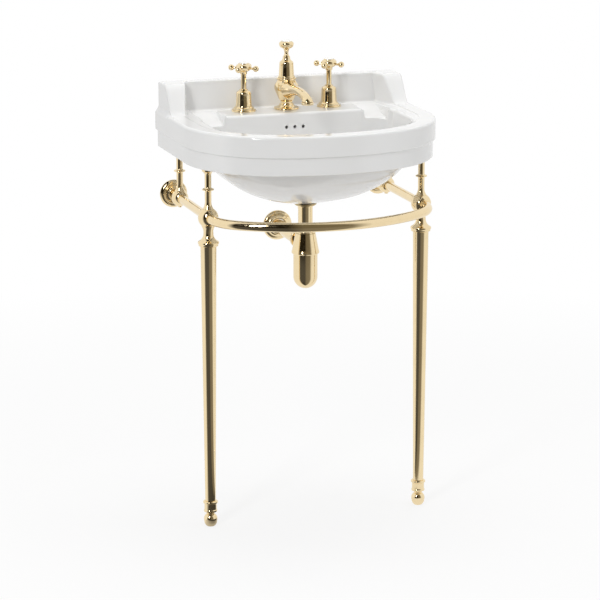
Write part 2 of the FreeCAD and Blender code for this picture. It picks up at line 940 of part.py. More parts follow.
def make_under_deck(doc, size, name, shank, x, y):
    """Rubber washer and back nut that clamp a fitting under the deck."""
    deck_under = size["rim_height"] - size["deck_drop"] - size["deck_thick"]
    bore = shank + size["seat_gap"]
    washer = turned(
        doc,
        f"{name}_washer",
        [(bore, -as_size(3.0)), (bore + 8.0, -as_size(3.0)), (bore + 8.0, NIL), (bore, NIL)],
        x,
        y,
        deck_under,
    )
    nut = hex_ring(
        doc, f"{name}_back_nut", bore + 7.0, bore, -as_size(12.0), as_size(9.0), x, y, deck_under
    )
    return [washer, nut]


def make_valve(doc, size, name, x, y):
    """One side valve: bell, valve body, spindle, cross handle, ceramic index and its fixings."""
    deck = size["rim_height"] - size["deck_drop"]
    flange = size["valve_flange_radius"]
    bell = size["bell_radius"]
    tall = size["bell_height"]
    spindle = size["spindle_radius"]
    fit = size["running_fit"]
    shank = size["tap_hole_radius"] - 0.8
    core = spindle - 2.0
    head = tall * 0.6
    cover = turned(
        doc,
        f"{name}_bell",
        [
            (bell, NIL),
            (flange, NIL),
            (flange, as_size(2.2), 0.72),
            (flange - 2.2, as_size(4.4)),
            (flange - 4.6, as_size(4.8)),
            (flange - 4.6, as_size(6.8), 0.75),
            (flange - 6.2, as_size(8.4), -1.0),
            (bell + 0.6, as_size(14.0)),
            (bell, as_size(16.0)),
            (bell - 1.0, tall - 10.0, 0.78),
            (bell - 6.0, tall - 3.2),
            (spindle + 3.4, tall - 2.4),
            (spindle + 3.4, tall),
            (spindle + fit, tall),
            (spindle + fit, tall - 5.0),
            (bell - 4.0, tall - 10.0),
            (bell - 2.4, as_size(15.0)),
            (bell - 2.0, as_size(10.0)),
        ],
        x,
        y,
        deck,
    )
    body = new_body(doc, f"{name}_valve")
    inlet = as_size(10.4)
    turn_profile(
        body,
        f"{name}_valve_profile",
        [
            (NIL, -as_size(84.0)),
            (inlet, -as_size(84.0)),
            (inlet, -as_size(66.0)),
            (shank, -as_size(64.0)),
            (shank, as_size(1.5)),
            (shank - 2.0, as_size(3.0)),
            (shank - 2.0, head),
            (core + fit, head),
            (core + fit, head - 12.0),
            (NIL, head - 12.0),
        ],
    )
    port = new_sketch(body, f"{name}_port", "YZ_Plane")
    draw_circle(port, NIL, -as_size(46.0), as_size(8.5))
    pad(body, port, shank + 5.0, reverse=x.value > 0)
    place(body, x, y, deck)
    stem = turned(
        doc,
        f"{name}_spindle",
        [
            (NIL, head - 11.0),
            (core, head - 11.0),
            (core, head + size["seat_gap"]),
            (spindle, head + size["seat_gap"]),
            (spindle, size["handle_height"] - 13.0),
            (NIL, size["handle_height"] - 13.0),
        ],
        x,
        y,
        deck,
    )
    top = deck + size["handle_height"]
    disc = size["index_radius"]
    crown = as_size(3.0)
    index = turned(
        doc,
        f"{name}_index",
        [
            (NIL, as_size(8.0)),
            (disc, as_size(8.0)),
            (disc, as_size(11.5), dome_radius(disc, crown)),
            (NIL, crown + 11.5),
        ],
        x,
        y,
        top,
    )
    pieces = [cover, body, stem, make_cross_handle(doc, size, name, x, y, top), index]
    return pieces + make_under_deck(doc, size, name, shank, x, y)


def make_cross_handle(doc, size, name, x, y, z):
    """Cross handle: cupped hub and four ball-ended arms set out round it."""
    hub = size["handle_radius"]
    cup = size["index_radius"] + size["seat_gap"]
    ball = size["handle_ball_radius"]
    reach = size["handle_reach"]
    arm = as_size(2.7)
    body = new_body(doc, f"{name}_handle")
    hub_turning = turn_profile(
        body,
        f"{name}_handle_hub",
        [
            (NIL, -as_size(13.0)),
            (size["spindle_radius"] + 1.8, -as_size(13.0)),
            (size["spindle_radius"] + 1.8, -as_size(10.5), -0.9),
            (hub * 0.62, -as_size(6.5), 1.0),
            (hub, as_size(1.5), 0.8),
            (hub * 0.8, as_size(8.5)),
            (cup + 1.6, as_size(9.4)),
            (cup + 1.2, as_size(11.4)),
            (cup, as_size(11.4)),
            (cup, as_size(8.0)),
            (NIL, as_size(8.0)),
        ],
    )
    neck = reach - ball * 0.9
    arm_sketch = new_sketch(body, f"{name}_arm", "XZ_Plane")
    tip = reach + ball
    draw(
        arm_sketch,
        [
            (hub * 0.5, NIL),
            (tip, NIL, ball),
            (reach, ball, ball),
            (neck, ball * 0.44),
            (neck - 1.6, ball * 0.44),
            (neck - 2.4, arm),
            (hub * 0.5, arm),
        ],
    )
    arm_turning = body.newObject("PartDesign::Revolution", f"{name}_arm_turned")
    arm_turning.Profile = arm_sketch
    arm_turning.ReferenceAxis = (arm_sketch, ["H_Axis"])
    arm_turning.Angle = FULL_TURN
    doc.recompute()
    arms = body.newObject("PartDesign::PolarPattern", f"{name}_arms")
    arms.Originals = [arm_turning]
    arms.Axis = (hub_turning.Profile[0], ["V_Axis"])
    arms.Angle = FULL_TURN
    arms.Occurrences = 4
    body.Tip = arms
    place(body, x, y, z, FreeCAD.Rotation(FreeCAD.Vector(0, 0, 1), size["handle_turn"].value))
    return body


SPOUT_ARM = (
    # forward share of the reach, height share of the spout, radius share of the nose, nod
    (0.06, 0.63, 1.2, 0.0),
    (0.2, 0.665, 1.0, 5.0),
    (0.32, 0.7, 0.89, 6.0),
    (0.44, 0.728, 0.82, 4.0),
    (0.55, 0.742, 0.79, 0.0),
    (0.66, 0.743, 0.78, -6.0),
    (0.75, 0.727, 0.785, -15.0),
    (0.83, 0.7, 0.8, -26.0),
    (0.9, 0.663, 0.84, -40.0),
    (0.95, 0.628, 0.89, -55.0),
    (0.985, 0.59, 0.95, -73.0),
    (1.0, 0.56, 1.0, -90.0),
)


def arm_loft(doc, size, x, y, z):
    """Lofts the spout arm through round sections that nod from forwards to straight down."""
    rings = []
    for index, (forward, height, wide, nod) in enumerate(SPOUT_ARM):
        ring = doc.addObject("Part::Circle", f"arm_ring_{index}")
        ring.setExpression("Radius", (size["spout_nose_radius"] * wide).text)
        turn = FreeCAD.Rotation(FreeCAD.Vector(1, 0, 0), 90.0 - nod)
        along = y - size["spout_reach"] * forward
        place(ring, x, along, z + size["spout_height"] * height, turn)
        rings.append(ring)
    arm = doc.addObject("Part::Loft", "spout_arm")
    arm.Sections = rings
    arm.Solid = True
    arm.Ruled = True
    return arm


def make_spout(doc, size, x, y):
    """Spout: turned pear body with its shank and rod bore, lofted arm, and the nozzle below it."""
    deck = size["rim_height"] - size["deck_drop"]
    belly = size["spout_belly_radius"]
    tall = size["spout_height"]
    flange = size["spout_flange_radius"]
    shank = size["spout_hole_radius"] - 0.8
    rod = size["lift_rod_radius"] + 0.5
    body = new_body(doc, "spout_turning")
    turn_profile(
        body,
        "spout_profile",
        [
            (rod, -as_size(60.0)),
            (shank, -as_size(60.0)),
            (shank, NIL),
            (flange, NIL),
            (flange, as_size(2.2), 0.72),
            (flange - 2.0, as_size(4.2), -0.9),
            (belly * 0.6, as_size(10.5)),
            (belly * 0.6, as_size(12.0)),
            (belly * 0.53, as_size(13.0), -0.9),
            (belly * 0.64, as_size(21.0)),
            (belly * 0.97, tall * 0.58, 0.9),
            (belly * 0.94, tall * 0.82),
            (belly * 0.76, tall - 4.6),
            (belly * 0.81, tall - 3.4, 0.55),
            (belly * 0.81, tall),
            (rod, tall),
        ],
    )
    ports = new_sketch(body, "spout_ports", "YZ_Plane")
    draw_circle(ports, NIL, -as_size(46.0), as_size(8.5))
    pad(body, ports, (shank + 5.0) * 2.0, both_ways=True)
    drill(
        doc, body, "rod_bore", "XY_Plane", (NIL, NIL), rod, as_size(120.0), both_ways=True
    )
    place(body, x, y, deck)
    arm = arm_loft(doc, size, x, y, deck)
    spout = doc.addObject("Part::Fuse", "spout_body")
    spout.Base = body
    spout.Tool = arm
    spout.Label = "spout_body"
    nose = size["spout_nose_radius"]
    top = tall * SPOUT_ARM[-1][1] - size["seat_gap"]
    nozzle = turned(
        doc,
        "spout_nozzle",
        [
            (NIL, top - 3.0),
            (nose - 2.0, top - 3.0),
            (nose - 2.0, top - 5.6),
            (nose - 1.2, top - 6.4),
            (nose + 0.2, top - 6.4),
            (nose + 0.6, top - 5.6),
            (nose + 0.6, top - 0.6),
            (nose + 0.2, top),
            (NIL, top),
        ],
        x,
        y - size["spout_reach"],
        deck,
    )
    return [spout, nozzle] + make_under_deck(doc, size, "spout", shank, x, y)


def make_lift(doc, size, x, y):
    """Bonnet over the spout with the lift knob, its ceramic index and the rod through them."""
    deck = size["rim_height"] - size["deck_drop"]
    base = deck + size["spout_height"]
    wide = size["bonnet_radius"]
    tall = size["bonnet_height"]
    rod = size["lift_rod_radius"]
    fit = size["running_fit"]
    neck = as_size(4.6)
    bonnet = turned(
        doc,
        "spout_bonnet",
        [
            (rod + fit, NIL),
            (wide + 1.6, NIL),
            (wide + 1.6, as_size(2.5), 0.8),
            (wide, as_size(4.5)),
            (wide - 1.6, tall - 10.0, 0.78),
            (wide - 6.5, tall - 2.4),
            (wide - 8.0, tall),
            (wide - 8.6, tall + 1.4),
            (neck + 3.8, tall + 2.6),
            (neck + 3.8, tall + 5.4, 0.8),
            (neck + 1.8, tall + 7.0),
            (rod + fit, tall + 7.0),
        ],
        x,
        y,
        base,
    )
    start = tall + 7.0 + size["seat_gap"]
    knob = size["knob_radius"]
    middle = start + size["knob_rise"] - 8.0
    cup = size["index_radius"] + 1.0
    crown = as_size(3.0)
    grip = turned(
        doc,
        "lift_knob",
        [
            (NIL, start),
            (neck + 1.4, start),
            (neck + 1.4, start + 1.4),
            (neck, start + 3.0, -1.6),
            (neck, start + 11.5, -0.9),
            (knob * 0.62, middle - 6.6, 0.9),
            (knob, middle, 0.75),
            (knob * 0.83, middle + 6.5),
            (cup + size["seat_gap"], middle + 7.5),
            (cup + size["seat_gap"], middle + 6.0),
            (NIL, middle + 6.0),
        ],
        x,
        y,
        base,
    )
    disc = turned(
        doc,
        "knob_index",
        [
            (NIL, middle + 6.0),
            (cup, middle + 6.0),
            (cup, middle + 8.0, dome_radius(cup, crown)),
            (NIL, middle + 8.0 + crown),
        ],
        x,
        y,
        base,
    )
    return [bonnet, grip, disc]


def make_crossover(doc, size, name, x, y):
    """Rigid tube from a side valve to the spout, with a hexagon nut at each end."""
    deck = size["rim_height"] - size["deck_drop"]
    height = deck - 46.0
    side = 1.0 if x.value > 0 else -1.0
    valve_face = size["tap_span"] / 2 - (size["tap_hole_radius"] - 0.8) - 5.0
    spout_face = size["spout_hole_radius"] - 0.8 + 5.0
    gap = size["seat_gap"]
    run = valve_face - spout_face - 2 * gap
    start = spout_face + gap if side > 0 else -(valve_face - gap)
    tube = doc.addObject("Part::Cylinder", f"{name}_tube")
    tube.Radius = 6.0
    tube.setExpression("Height", run.text)
    place(tube, start, y, height, TO_RIGHT)
    joined = [tube]
    for end, at in (("near", start), ("far", start + run - 10.0)):
        nut = doc.addObject("Part::Prism", f"{name}_{end}_nut")
        nut.Polygon = 6
        nut.Circumradius = 9.5
        nut.Height = 10.0
        place(nut, at, y, height, TO_RIGHT)
        joined.append(nut)
    whole = doc.addObject("Part::MultiFuse", f"{name}_crossover")
    whole.Shapes = joined
    whole.Label = f"{name}_crossover"
    return whole


# ---------------------------------------------------------------- waste, lever and trap


def make_waste(doc, size, y):
    """Waste flange, seal, back nut, tail with its lever port, and the plug."""
    floor = size["rim_height"] - size["deck_drop"] - size["bowl_depth"]
    under = floor - size["bowl_wall"] - 1.0
    barrel = size["waste_hole_radius"] - 1.5
    tail = size["tail_radius"]
    bore = tail - size["tail_wall"]
    flange = turned(
        doc,
        "waste_flange",
        [
            (bore, under - 7.0),
            (barrel, under - 7.0),
            (barrel, floor),
            (barrel + 9.5, floor),
            (barrel + 9.5, floor + 1.2, 0.9),
            (barrel + 4.0, floor + 3.4),
            (barrel - 2.0, floor + 2.2),
            (bore + 1.2, floor - 2.0),
            (bore, floor - 4.0),
        ],
        NIL,
        y,
        NIL,
    )
    gap = size["seat_gap"]
    seal = turned(
        doc,
        "waste_seal",
        rectangle(barrel + gap, barrel + 5.0, under - 2.5, under),
        NIL,
        y,
        NIL,
    )
    nut = turned(
        doc,
        "waste_back_nut",
        [
            (barrel + gap, under - 7.0),
            (barrel + 2.5, under - 7.0),
            (barrel + 3.5, under - 6.0),
            (barrel + 3.5, under - 2.5),
            (barrel + gap, under - 2.5),
        ],
        NIL,
        y,
        NIL,
    )
    top = under - 7.0
    port = size["lever_height"]
    low = size["trap_top"] - 22.0
    tube = new_body(doc, "tailpiece")
    turn_profile(
        tube,
        "tailpiece_profile",
        [
            (bore, low),
            (tail, low),
            (tail, top - 3.5),
            (barrel, top - 2.0),
            (barrel, top),
            (bore, top),
        ],
    )
    boss = new_sketch(tube, "lever_port", "XZ_Plane")
    draw_circle(boss, NIL, port, size["lever_port_radius"])
    pad(tube, boss, size["lever_pivot"] - 1.0, reverse=True)
    drill(
        doc, tube, "port_bore", "XZ_Plane", (NIL, port), size["lever_ball_radius"] + 0.3,
        size["lever_pivot"] + 4.0,
    )
    hollow = new_sketch(tube, "tail_bore", "XY_Plane")
    draw_circle(hollow, NIL, NIL, bore)
    pocket(doc, tube, hollow, top, reverse=True)
    place(tube, NIL, y, NIL)
    return [flange, seal, nut, tube, make_plug(doc, size, y, floor, bore, port)]


def make_plug(doc, size, y, floor, bore, port):
    """Mushroom plug, standing open above its seat, with the eye that the lever works."""
    rise = size["plug_rise"]
    head = bore + 7.0
    crown = as_size(2.8)
    eye = as_size(6.0)
    slope = math.tan(math.radians(size["lever_slope"].value))
    hole_height = port - size["lever_pivot"] * slope
    body = new_body(doc, "waste_plug")
    turn_profile(
        body,
        "plug_profile",
        [
            (NIL, hole_height + eye),
            (as_size(3.5), hole_height + eye),
            (as_size(3.5), floor + rise - 3.0),
            (bore - 1.5, floor + rise - 1.5),
            (bore - 1.5, floor + rise + 3.4),
            (head, floor + rise + 4.4),
            (head, floor + rise + 5.2, dome_radius(head, crown)),
            (NIL, floor + rise + 5.2 + crown),
        ],
    )
    lug = new_sketch(body, "plug_eye", "XZ_Plane")
    draw(lug, rectangle(-eye, eye, hole_height - eye, hole_height + eye + 1.0))
    draw_circle(lug, NIL, hole_height, size["lever_rod_radius"] + 1.6)
    pad(body, lug, as_size(5.0), both_ways=True)
    place(body, NIL, y, NIL)
    return body


def make_lever(doc, size, waste, tap):
    """Ball lever from the plug's eye back to the lift rod, its port nut, rod and strap."""
    port = size["lever_height"]
    pivot = waste + size["lever_pivot"]
    rod = size["lever_rod_radius"]
    ball = size["lever_ball_radius"]
    waist = (ball * ball - rod * rod).root()
    inner = size["lever_pivot"] + 3.0
    outer = tap - pivot + 14.0
    lever = turned(
        doc,
        "ball_lever",
        [
            (NIL, -inner),
            (rod, -inner),
            (rod, -waist, ball),
            (ball, NIL, ball),
            (rod, waist),
            (rod, outer),
            (NIL, outer),
        ],
        NIL,
        pivot,
        port,
        FreeCAD.Rotation(FreeCAD.Vector(1, 0, 0), -90.0 + size["lever_slope"].value),
    )
    ring = size["lever_port_radius"]
    nut = turned(
        doc,
        "port_nut",
        [
            (ball + 0.6, NIL),
            (ring + 1.5, NIL),
            (ring + 1.5, as_size(6.0)),
            (ring - 1.0, as_size(8.0)),
            (rod + 2.6, as_size(8.0)),
            (ball + 0.6, as_size(4.0)),
        ],
        NIL,
        pivot - 1.0 + size["seat_gap"],
        port,
        TO_WALL,
    )
    lift = size["lift_rod_radius"]
    deck = size["rim_height"] - size["deck_drop"]
    top = deck + size["spout_height"] + size["bonnet_height"] + 7.0 + size["seat_gap"]
    arm_height = port + (tap - pivot) * math.tan(math.radians(size["lever_slope"].value))
    low = arm_height + 26.0
    pull = turned(
        doc,
        "lift_rod",
        [(NIL, low), (lift, low), (lift, top), (NIL, top)],
        NIL,
        tap,
        NIL,
    )
    strap = new_body(doc, "lever_strap")
    plate = new_sketch(strap, "strap_outline", "XZ_Plane")
    foot = arm_height - 9.0
    head = low - size["seat_gap"]
    draw(plate, rectangle(-as_size(6.0), as_size(6.0), foot, head))
    draw_circle(plate, NIL, arm_height, rod + 2.0)
    pad(strap, plate, as_size(1.6), both_ways=True)
    grip = new_sketch(strap, "strap_clamp", "XY_Plane", head - 8.0)
    draw(grip, rectangle(-as_size(6.0), as_size(6.0), -as_size(5.0), as_size(5.0)))
    pad(strap, grip, as_size(8.0))
    place(strap, NIL, tap, NIL)
    return [lever, nut, pull, strap]


def make_trap(doc, size, y, wall):
    """Bottle trap: inlet nut, cone body with its dip tube, cup, outlet nut, pipe and escutcheon."""
    tail = size["tail_radius"]
    gap = size["seat_gap"]
    top = size["trap_top"]
    cone = size["trap_cone_radius"]
    cone_top = size["trap_cone_top_radius"]
    edge = top - size["trap_cone_height"]
    cup = size["trap_cup_radius"]
    outlet = size["outlet_height"]
    pipe = size["outlet_radius"]
    nut = turned(
        doc,
        "trap_inlet_nut",
        [
            (tail + gap, top + gap),
            (cone_top - 1.0, top + gap),
            (cone_top - 1.0, top + 3.5),
            (cone_top - 2.2, top + 4.5),
            (cone_top - 2.2, top + 13.0),
            (cone_top - 3.6, top + 16.0),
            (tail + gap, top + 16.0),
        ],
        NIL,
        y,
        NIL,
    )
    body = new_body(doc, "trap_body")
    turn_profile(
        body,
        "trap_body_profile",
        [
            (tail + gap, top - 24.0),
            (cone_top - 3.0, top - 24.0),
            (cone - 4.0, edge + 9.0),
            (cone - 4.0, edge),
            (cone - 1.2, edge),
            (cone, edge + 1.6),
            (cone, edge + 4.0),
            (cone - 1.6, edge + 9.0),
            (cone_top, top),
            (tail + gap, top),
        ],
    )
    boss = new_sketch(body, "trap_outlet", "XZ_Plane")
    draw_circle(boss, NIL, outlet, pipe)
    collar = cone + 8.0
    pad(body, boss, collar, reverse=True)
    drill(
        doc, body, "outlet_bore", "XZ_Plane", (NIL, outlet), pipe - 2.4, collar,
    )
    inside = new_sketch(body, "trap_inside", "XY_Plane", edge)
    draw_circle(inside, NIL, NIL, cone_top - 4.0)
    pocket(doc, body, inside, outlet - edge + pipe - 6.0, reverse=True)
    drill(
        doc, body, "inlet_bore", "XY_Plane", (NIL, NIL), tail + gap, top * 2.0, both_ways=True,
    )
    place(body, NIL, y, NIL)
    depth = size["trap_cup_height"]
    wall_thick = as_size(2.2)
    round_floor = cup
    vessel = turned(
        doc,
        "trap_cup",
        [
            (NIL, edge - depth, round_floor),
            (cup, edge - depth + round_floor),
            (cup, edge - gap),
            (cup - wall_thick, edge - gap),
            (cup - wall_thick, edge - depth + round_floor, -(round_floor - wall_thick)),
            (NIL, edge - depth + wall_thick),
        ],
        NIL,
        y,
        NIL,
    )
    dip = turned(
        doc,
        "dip_tube",
        rectangle(tail - 4.0, tail - 2.4, edge - depth * 0.5, top - 24.0 - gap),
        NIL,
        y,
        NIL,
    )
    start = y + collar + gap
    union = turned(
        doc,
        "outlet_nut",
        [
            (pipe - 2.0, NIL),
            (pipe + 4.4, NIL),
            (pipe + 4.4, as_size(4.0)),
            (pipe + 3.0, as_size(5.0)),
            (pipe + 4.4, as_size(6.0)),
            (pipe + 4.4, as_size(10.0)),
            (pipe + 3.0, as_size(11.0)),
            (pipe + 3.6, as_size(12.0)),
            (pipe + 3.0, as_size(16.0)),
            (pipe + 1.0, as_size(18.0)),
            (pipe - 0.4, as_size(18.0)),
            (pipe - 0.4, as_size(2.0)),
            (pipe - 2.0, as_size(2.0)),
        ],
        NIL,
        start,
        outlet,
        TO_WALL,
    )
    run = wall - start - 2.0 - gap
    arm = turned(
        doc,
        "outlet_pipe",
        rectangle(pipe - 2.4, pipe - 0.6, NIL, run),
        NIL,
        wall,
        outlet,
        FROM_WALL,
    )
    rose = size["escutcheon_radius"]
    plate = turned(
        doc,
        "wall_escutcheon",
        [
            (pipe + gap, NIL),
            (rose, NIL),
            (rose, as_size(2.0), 1.2),
            (rose - 8.0, as_size(7.0), 1.6),
            (pipe + 4.0, as_size(11.0)),
            (pipe + 3.0, as_size(13.0)),
            (pipe + gap, as_size(13.0)),
        ],
        NIL,
        wall,
        outlet,
        FROM_WALL,
    )
    return [nut, body, vessel, dip, union, arm, plate]


# ---------------------------------------------------------------- whole object


def make_stand(doc, size, wall):
    """The wash-stand: two legs, four posts, rails, rear hubs and wall flanges."""
    legs = wall - size["leg_setback"]
    rear = wall - size["rear_setback"]
    pieces = [make_bow_rail(doc, size, legs)]
    front_base = size["rail_height"] + size["hub_radius"] * 0.84
    rear_base = size["rail_height"] + size["rear_hub_radius"] * 0.76
    for side, across in leg_places(size):
        pieces += make_leg(doc, size, side, across, legs)
        flare = size["vase_neck_radius"] + 1.2
        pieces.append(make_post(doc, size, f"front_post_{side}", across, legs, front_base, flare))
        flare = size["rear_hub_radius"] * 0.65
        pieces.append(make_post(doc, size, f"rear_post_{side}", across, rear, rear_base, flare))
        pieces.append(make_rear_hub(doc, size, side, across, rear))
        pieces.append(make_wall_flange(doc, size, side, across, wall))
        pieces.append(make_side_rail(doc, size, side, across, legs))
    return pieces


def check(doc, pieces):
    """Stops before anything is written if a feature failed or a piece has no sound solid."""
    for thing in doc.Objects:
        if "Invalid" in thing.State or "Error" in thing.State:
            raise RuntimeError(f"{thing.Name} failed: {thing.State}")
    for piece in pieces:
        if piece.Shape.isNull() or not piece.Shape.isValid() or not piece.Shape.Solids:
            raise RuntimeError(f"{piece.Label} has no valid solid")


def main():
    """Builds every piece and writes it under its own name."""
    doc = FreeCAD.newDocument("console_sink")
    size = make_sheet(doc)
    wall = size["overall_depth"] / 2
    taps = wall - size["tap_setback"]
    waste = wall - size["waste_setback"]
    half_span = size["tap_span"] / 2
    pieces = [make_basin(doc, size)]
    pieces += make_stand(doc, size, wall)
    for name, across in (("hot", -half_span), ("cold", half_span)):
        pieces += make_valve(doc, size, name, across, taps)
        pieces.append(make_crossover(doc, size, name, across, taps))
    pieces += make_spout(doc, size, NIL, taps)
    pieces += make_lift(doc, size, NIL, taps)
    pieces += make_waste(doc, size, waste)
    pieces += make_lever(doc, size, waste, taps)
    pieces += make_trap(doc, size, waste, wall)
    doc.recompute()
    check(doc, pieces)
    os.makedirs("parts", exist_ok=True)
    for piece in pieces:
        piece.Shape.exportStep(os.path.join("parts", f"{piece.Label}.step"))


main()
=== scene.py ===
"""Console sink with legs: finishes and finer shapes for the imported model.

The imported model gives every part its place. This file lights it, sets a camera at the
reference's angle, gives each part its finish, and puts a finer basin and finer turnings over it.
"""

import json
import logging
import math
from dataclasses import dataclass, field
from enum import Enum
from typing import Callable, Optional, Sequence, Union

import bpy
from mathutils import Euler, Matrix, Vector


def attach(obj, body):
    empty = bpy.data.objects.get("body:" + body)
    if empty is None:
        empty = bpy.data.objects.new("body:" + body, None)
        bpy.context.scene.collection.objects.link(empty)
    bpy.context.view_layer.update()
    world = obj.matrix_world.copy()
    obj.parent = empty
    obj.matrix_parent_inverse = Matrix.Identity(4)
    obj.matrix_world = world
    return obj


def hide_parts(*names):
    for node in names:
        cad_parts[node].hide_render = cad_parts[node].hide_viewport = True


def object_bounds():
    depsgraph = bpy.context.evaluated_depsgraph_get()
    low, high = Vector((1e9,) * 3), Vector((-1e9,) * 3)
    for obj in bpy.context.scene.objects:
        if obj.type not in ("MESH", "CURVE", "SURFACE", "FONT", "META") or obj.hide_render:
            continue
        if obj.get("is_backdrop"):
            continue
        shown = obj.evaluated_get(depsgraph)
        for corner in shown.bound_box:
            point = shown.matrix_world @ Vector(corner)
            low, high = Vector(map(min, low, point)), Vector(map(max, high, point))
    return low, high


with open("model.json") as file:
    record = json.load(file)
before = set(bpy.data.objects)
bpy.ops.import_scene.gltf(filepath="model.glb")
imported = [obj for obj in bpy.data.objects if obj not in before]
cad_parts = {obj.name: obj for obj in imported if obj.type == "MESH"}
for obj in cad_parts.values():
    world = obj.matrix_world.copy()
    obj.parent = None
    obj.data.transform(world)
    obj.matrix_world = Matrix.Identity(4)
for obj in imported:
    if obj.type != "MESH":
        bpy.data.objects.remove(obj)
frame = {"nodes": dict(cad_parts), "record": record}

LOG = logging.getLogger("console_sink")
MM = 0.001
Point = tuple[float, float, float]
Place = tuple[float, float]
Number = Union[int, float]


# ---------------------------------------------------------------- shader arithmetic


class Signal:
    """A shader socket that carries one number and can be used in Python arithmetic."""

    def __init__(self, nodes: "Nodes", socket: bpy.types.NodeSocket) -> None:
        """Keeps the socket and the nodes that it belongs to."""
        self.nodes = nodes
        self.socket = socket

    def _joined(
        self,
        operation: str,
        left: Union["Signal", Number],
        right: Union["Signal", bpy.types.NodeSocket, Number],
    ) -> "Signal":
        """Adds a Math node.

        Args:
            operation: the Math node's operation.
            left: first operand.
            right: second operand.

        Returns:
            The node's result.
        """
        node = self.nodes.node("ShaderNodeMath", {"operation": operation}, {0: left, 1: right})
        return Signal(self.nodes, node.outputs[0])

    def __add__(self, other: Union["Signal", Number]) -> "Signal":
        """Sum."""
        return self._joined("ADD", self, other)

    def __rsub__(self, other: Number) -> "Signal":
        """Difference from a plain number."""
        return self._joined("SUBTRACT", other, self)

    def __mul__(self, other: Union["Signal", Number]) -> "Signal":
        """Product."""
        return self._joined("MULTIPLY", self, other)

    def greater(self, other: Union["Signal", bpy.types.NodeSocket]) -> "Signal":
        """Greater of the two."""
        return self._joined("MAXIMUM", self, other)

    def bearing(self, front: "Signal") -> "Signal":
        """Angle of a direction, from this much across and that much in front."""
        return self._joined("ARCTAN2", self, front)

    def above(self, edge: float, width: float) -> "Signal":
        """Soft step from 0 to 1 round an edge.

        Args:
            edge: value at the middle of the step.
            width: how much the value changes over the step.

        Returns:
            The step, between 0 and 1.
        """
        node = self.nodes.node(
            "ShaderNodeMapRange",
            {"interpolation_type": "SMOOTHSTEP"},
            {"Value": self, "From Min": edge - width / 2, "From Max": edge + width / 2},
        )
        return Signal(self.nodes, node.outputs[0])


class Nodes:
    """A node tree under construction."""

    def __init__(self, tree: bpy.types.NodeTree) -> None:
        """Empties the tree."""
        self.tree = tree
        self.tree.nodes.clear()

    def join(self, start: bpy.types.NodeSocket, end: bpy.types.NodeSocket) -> None:
        """Links two sockets."""
        self.tree.links.new(start, end)

    def node(
        self, kind: str, settings: Optional[dict] = None, sockets: Optional[dict] = None
    ) -> bpy.types.Node:
        """Adds a node.

        Args:
            kind: the node's type.
            settings: its own settings, with a ramp's stops as (position, value) pairs.
            sockets: values, sockets or signals for its inputs.

        Returns:
            The node.
        """
        made = self.tree.nodes.new(kind)
        for name, value in (settings or {}).items():
            if name == "stops":
                self._set_stops(made, value)
            else:
                setattr(made, name, value)
        for name, value in (sockets or {}).items():
            if isinstance(value, Signal):
                self.join(value.socket, made.inputs[name])
            elif isinstance(value, bpy.types.NodeSocket):
                self.join(value, made.inputs[name])
            else:
                made.inputs[name].default_value = value
        return made

    @staticmethod
    def _set_stops(ramp: bpy.types.Node, stops: Sequence[tuple[float, Sequence[float]]]) -> None:
        """Writes a colour ramp's stops."""
        elements = ramp.color_ramp.elements
        while len(elements) > 1:
            elements.remove(elements[-1])
        for index, (position, value) in enumerate(stops):
            element = elements[0] if index == 0 else elements.new(position)
            element.position = position
            element.color = (*value, 1.0)

    def mixed(
        self,
        share: Union[Signal, bpy.types.NodeSocket],
        under: bpy.types.NodeSocket,
        over: bpy.types.NodeSocket,
    ) -> bpy.types.NodeSocket:
        """Lays one shader over another.

        Args:
            share: how much of the upper shader shows.
            under: the lower shader.
            over: the upper shader.

        Returns:
            The blended shader.
        """
        return self.node("ShaderNodeMixShader", None, {0: share, 1: under, 2: over}).outputs[0]


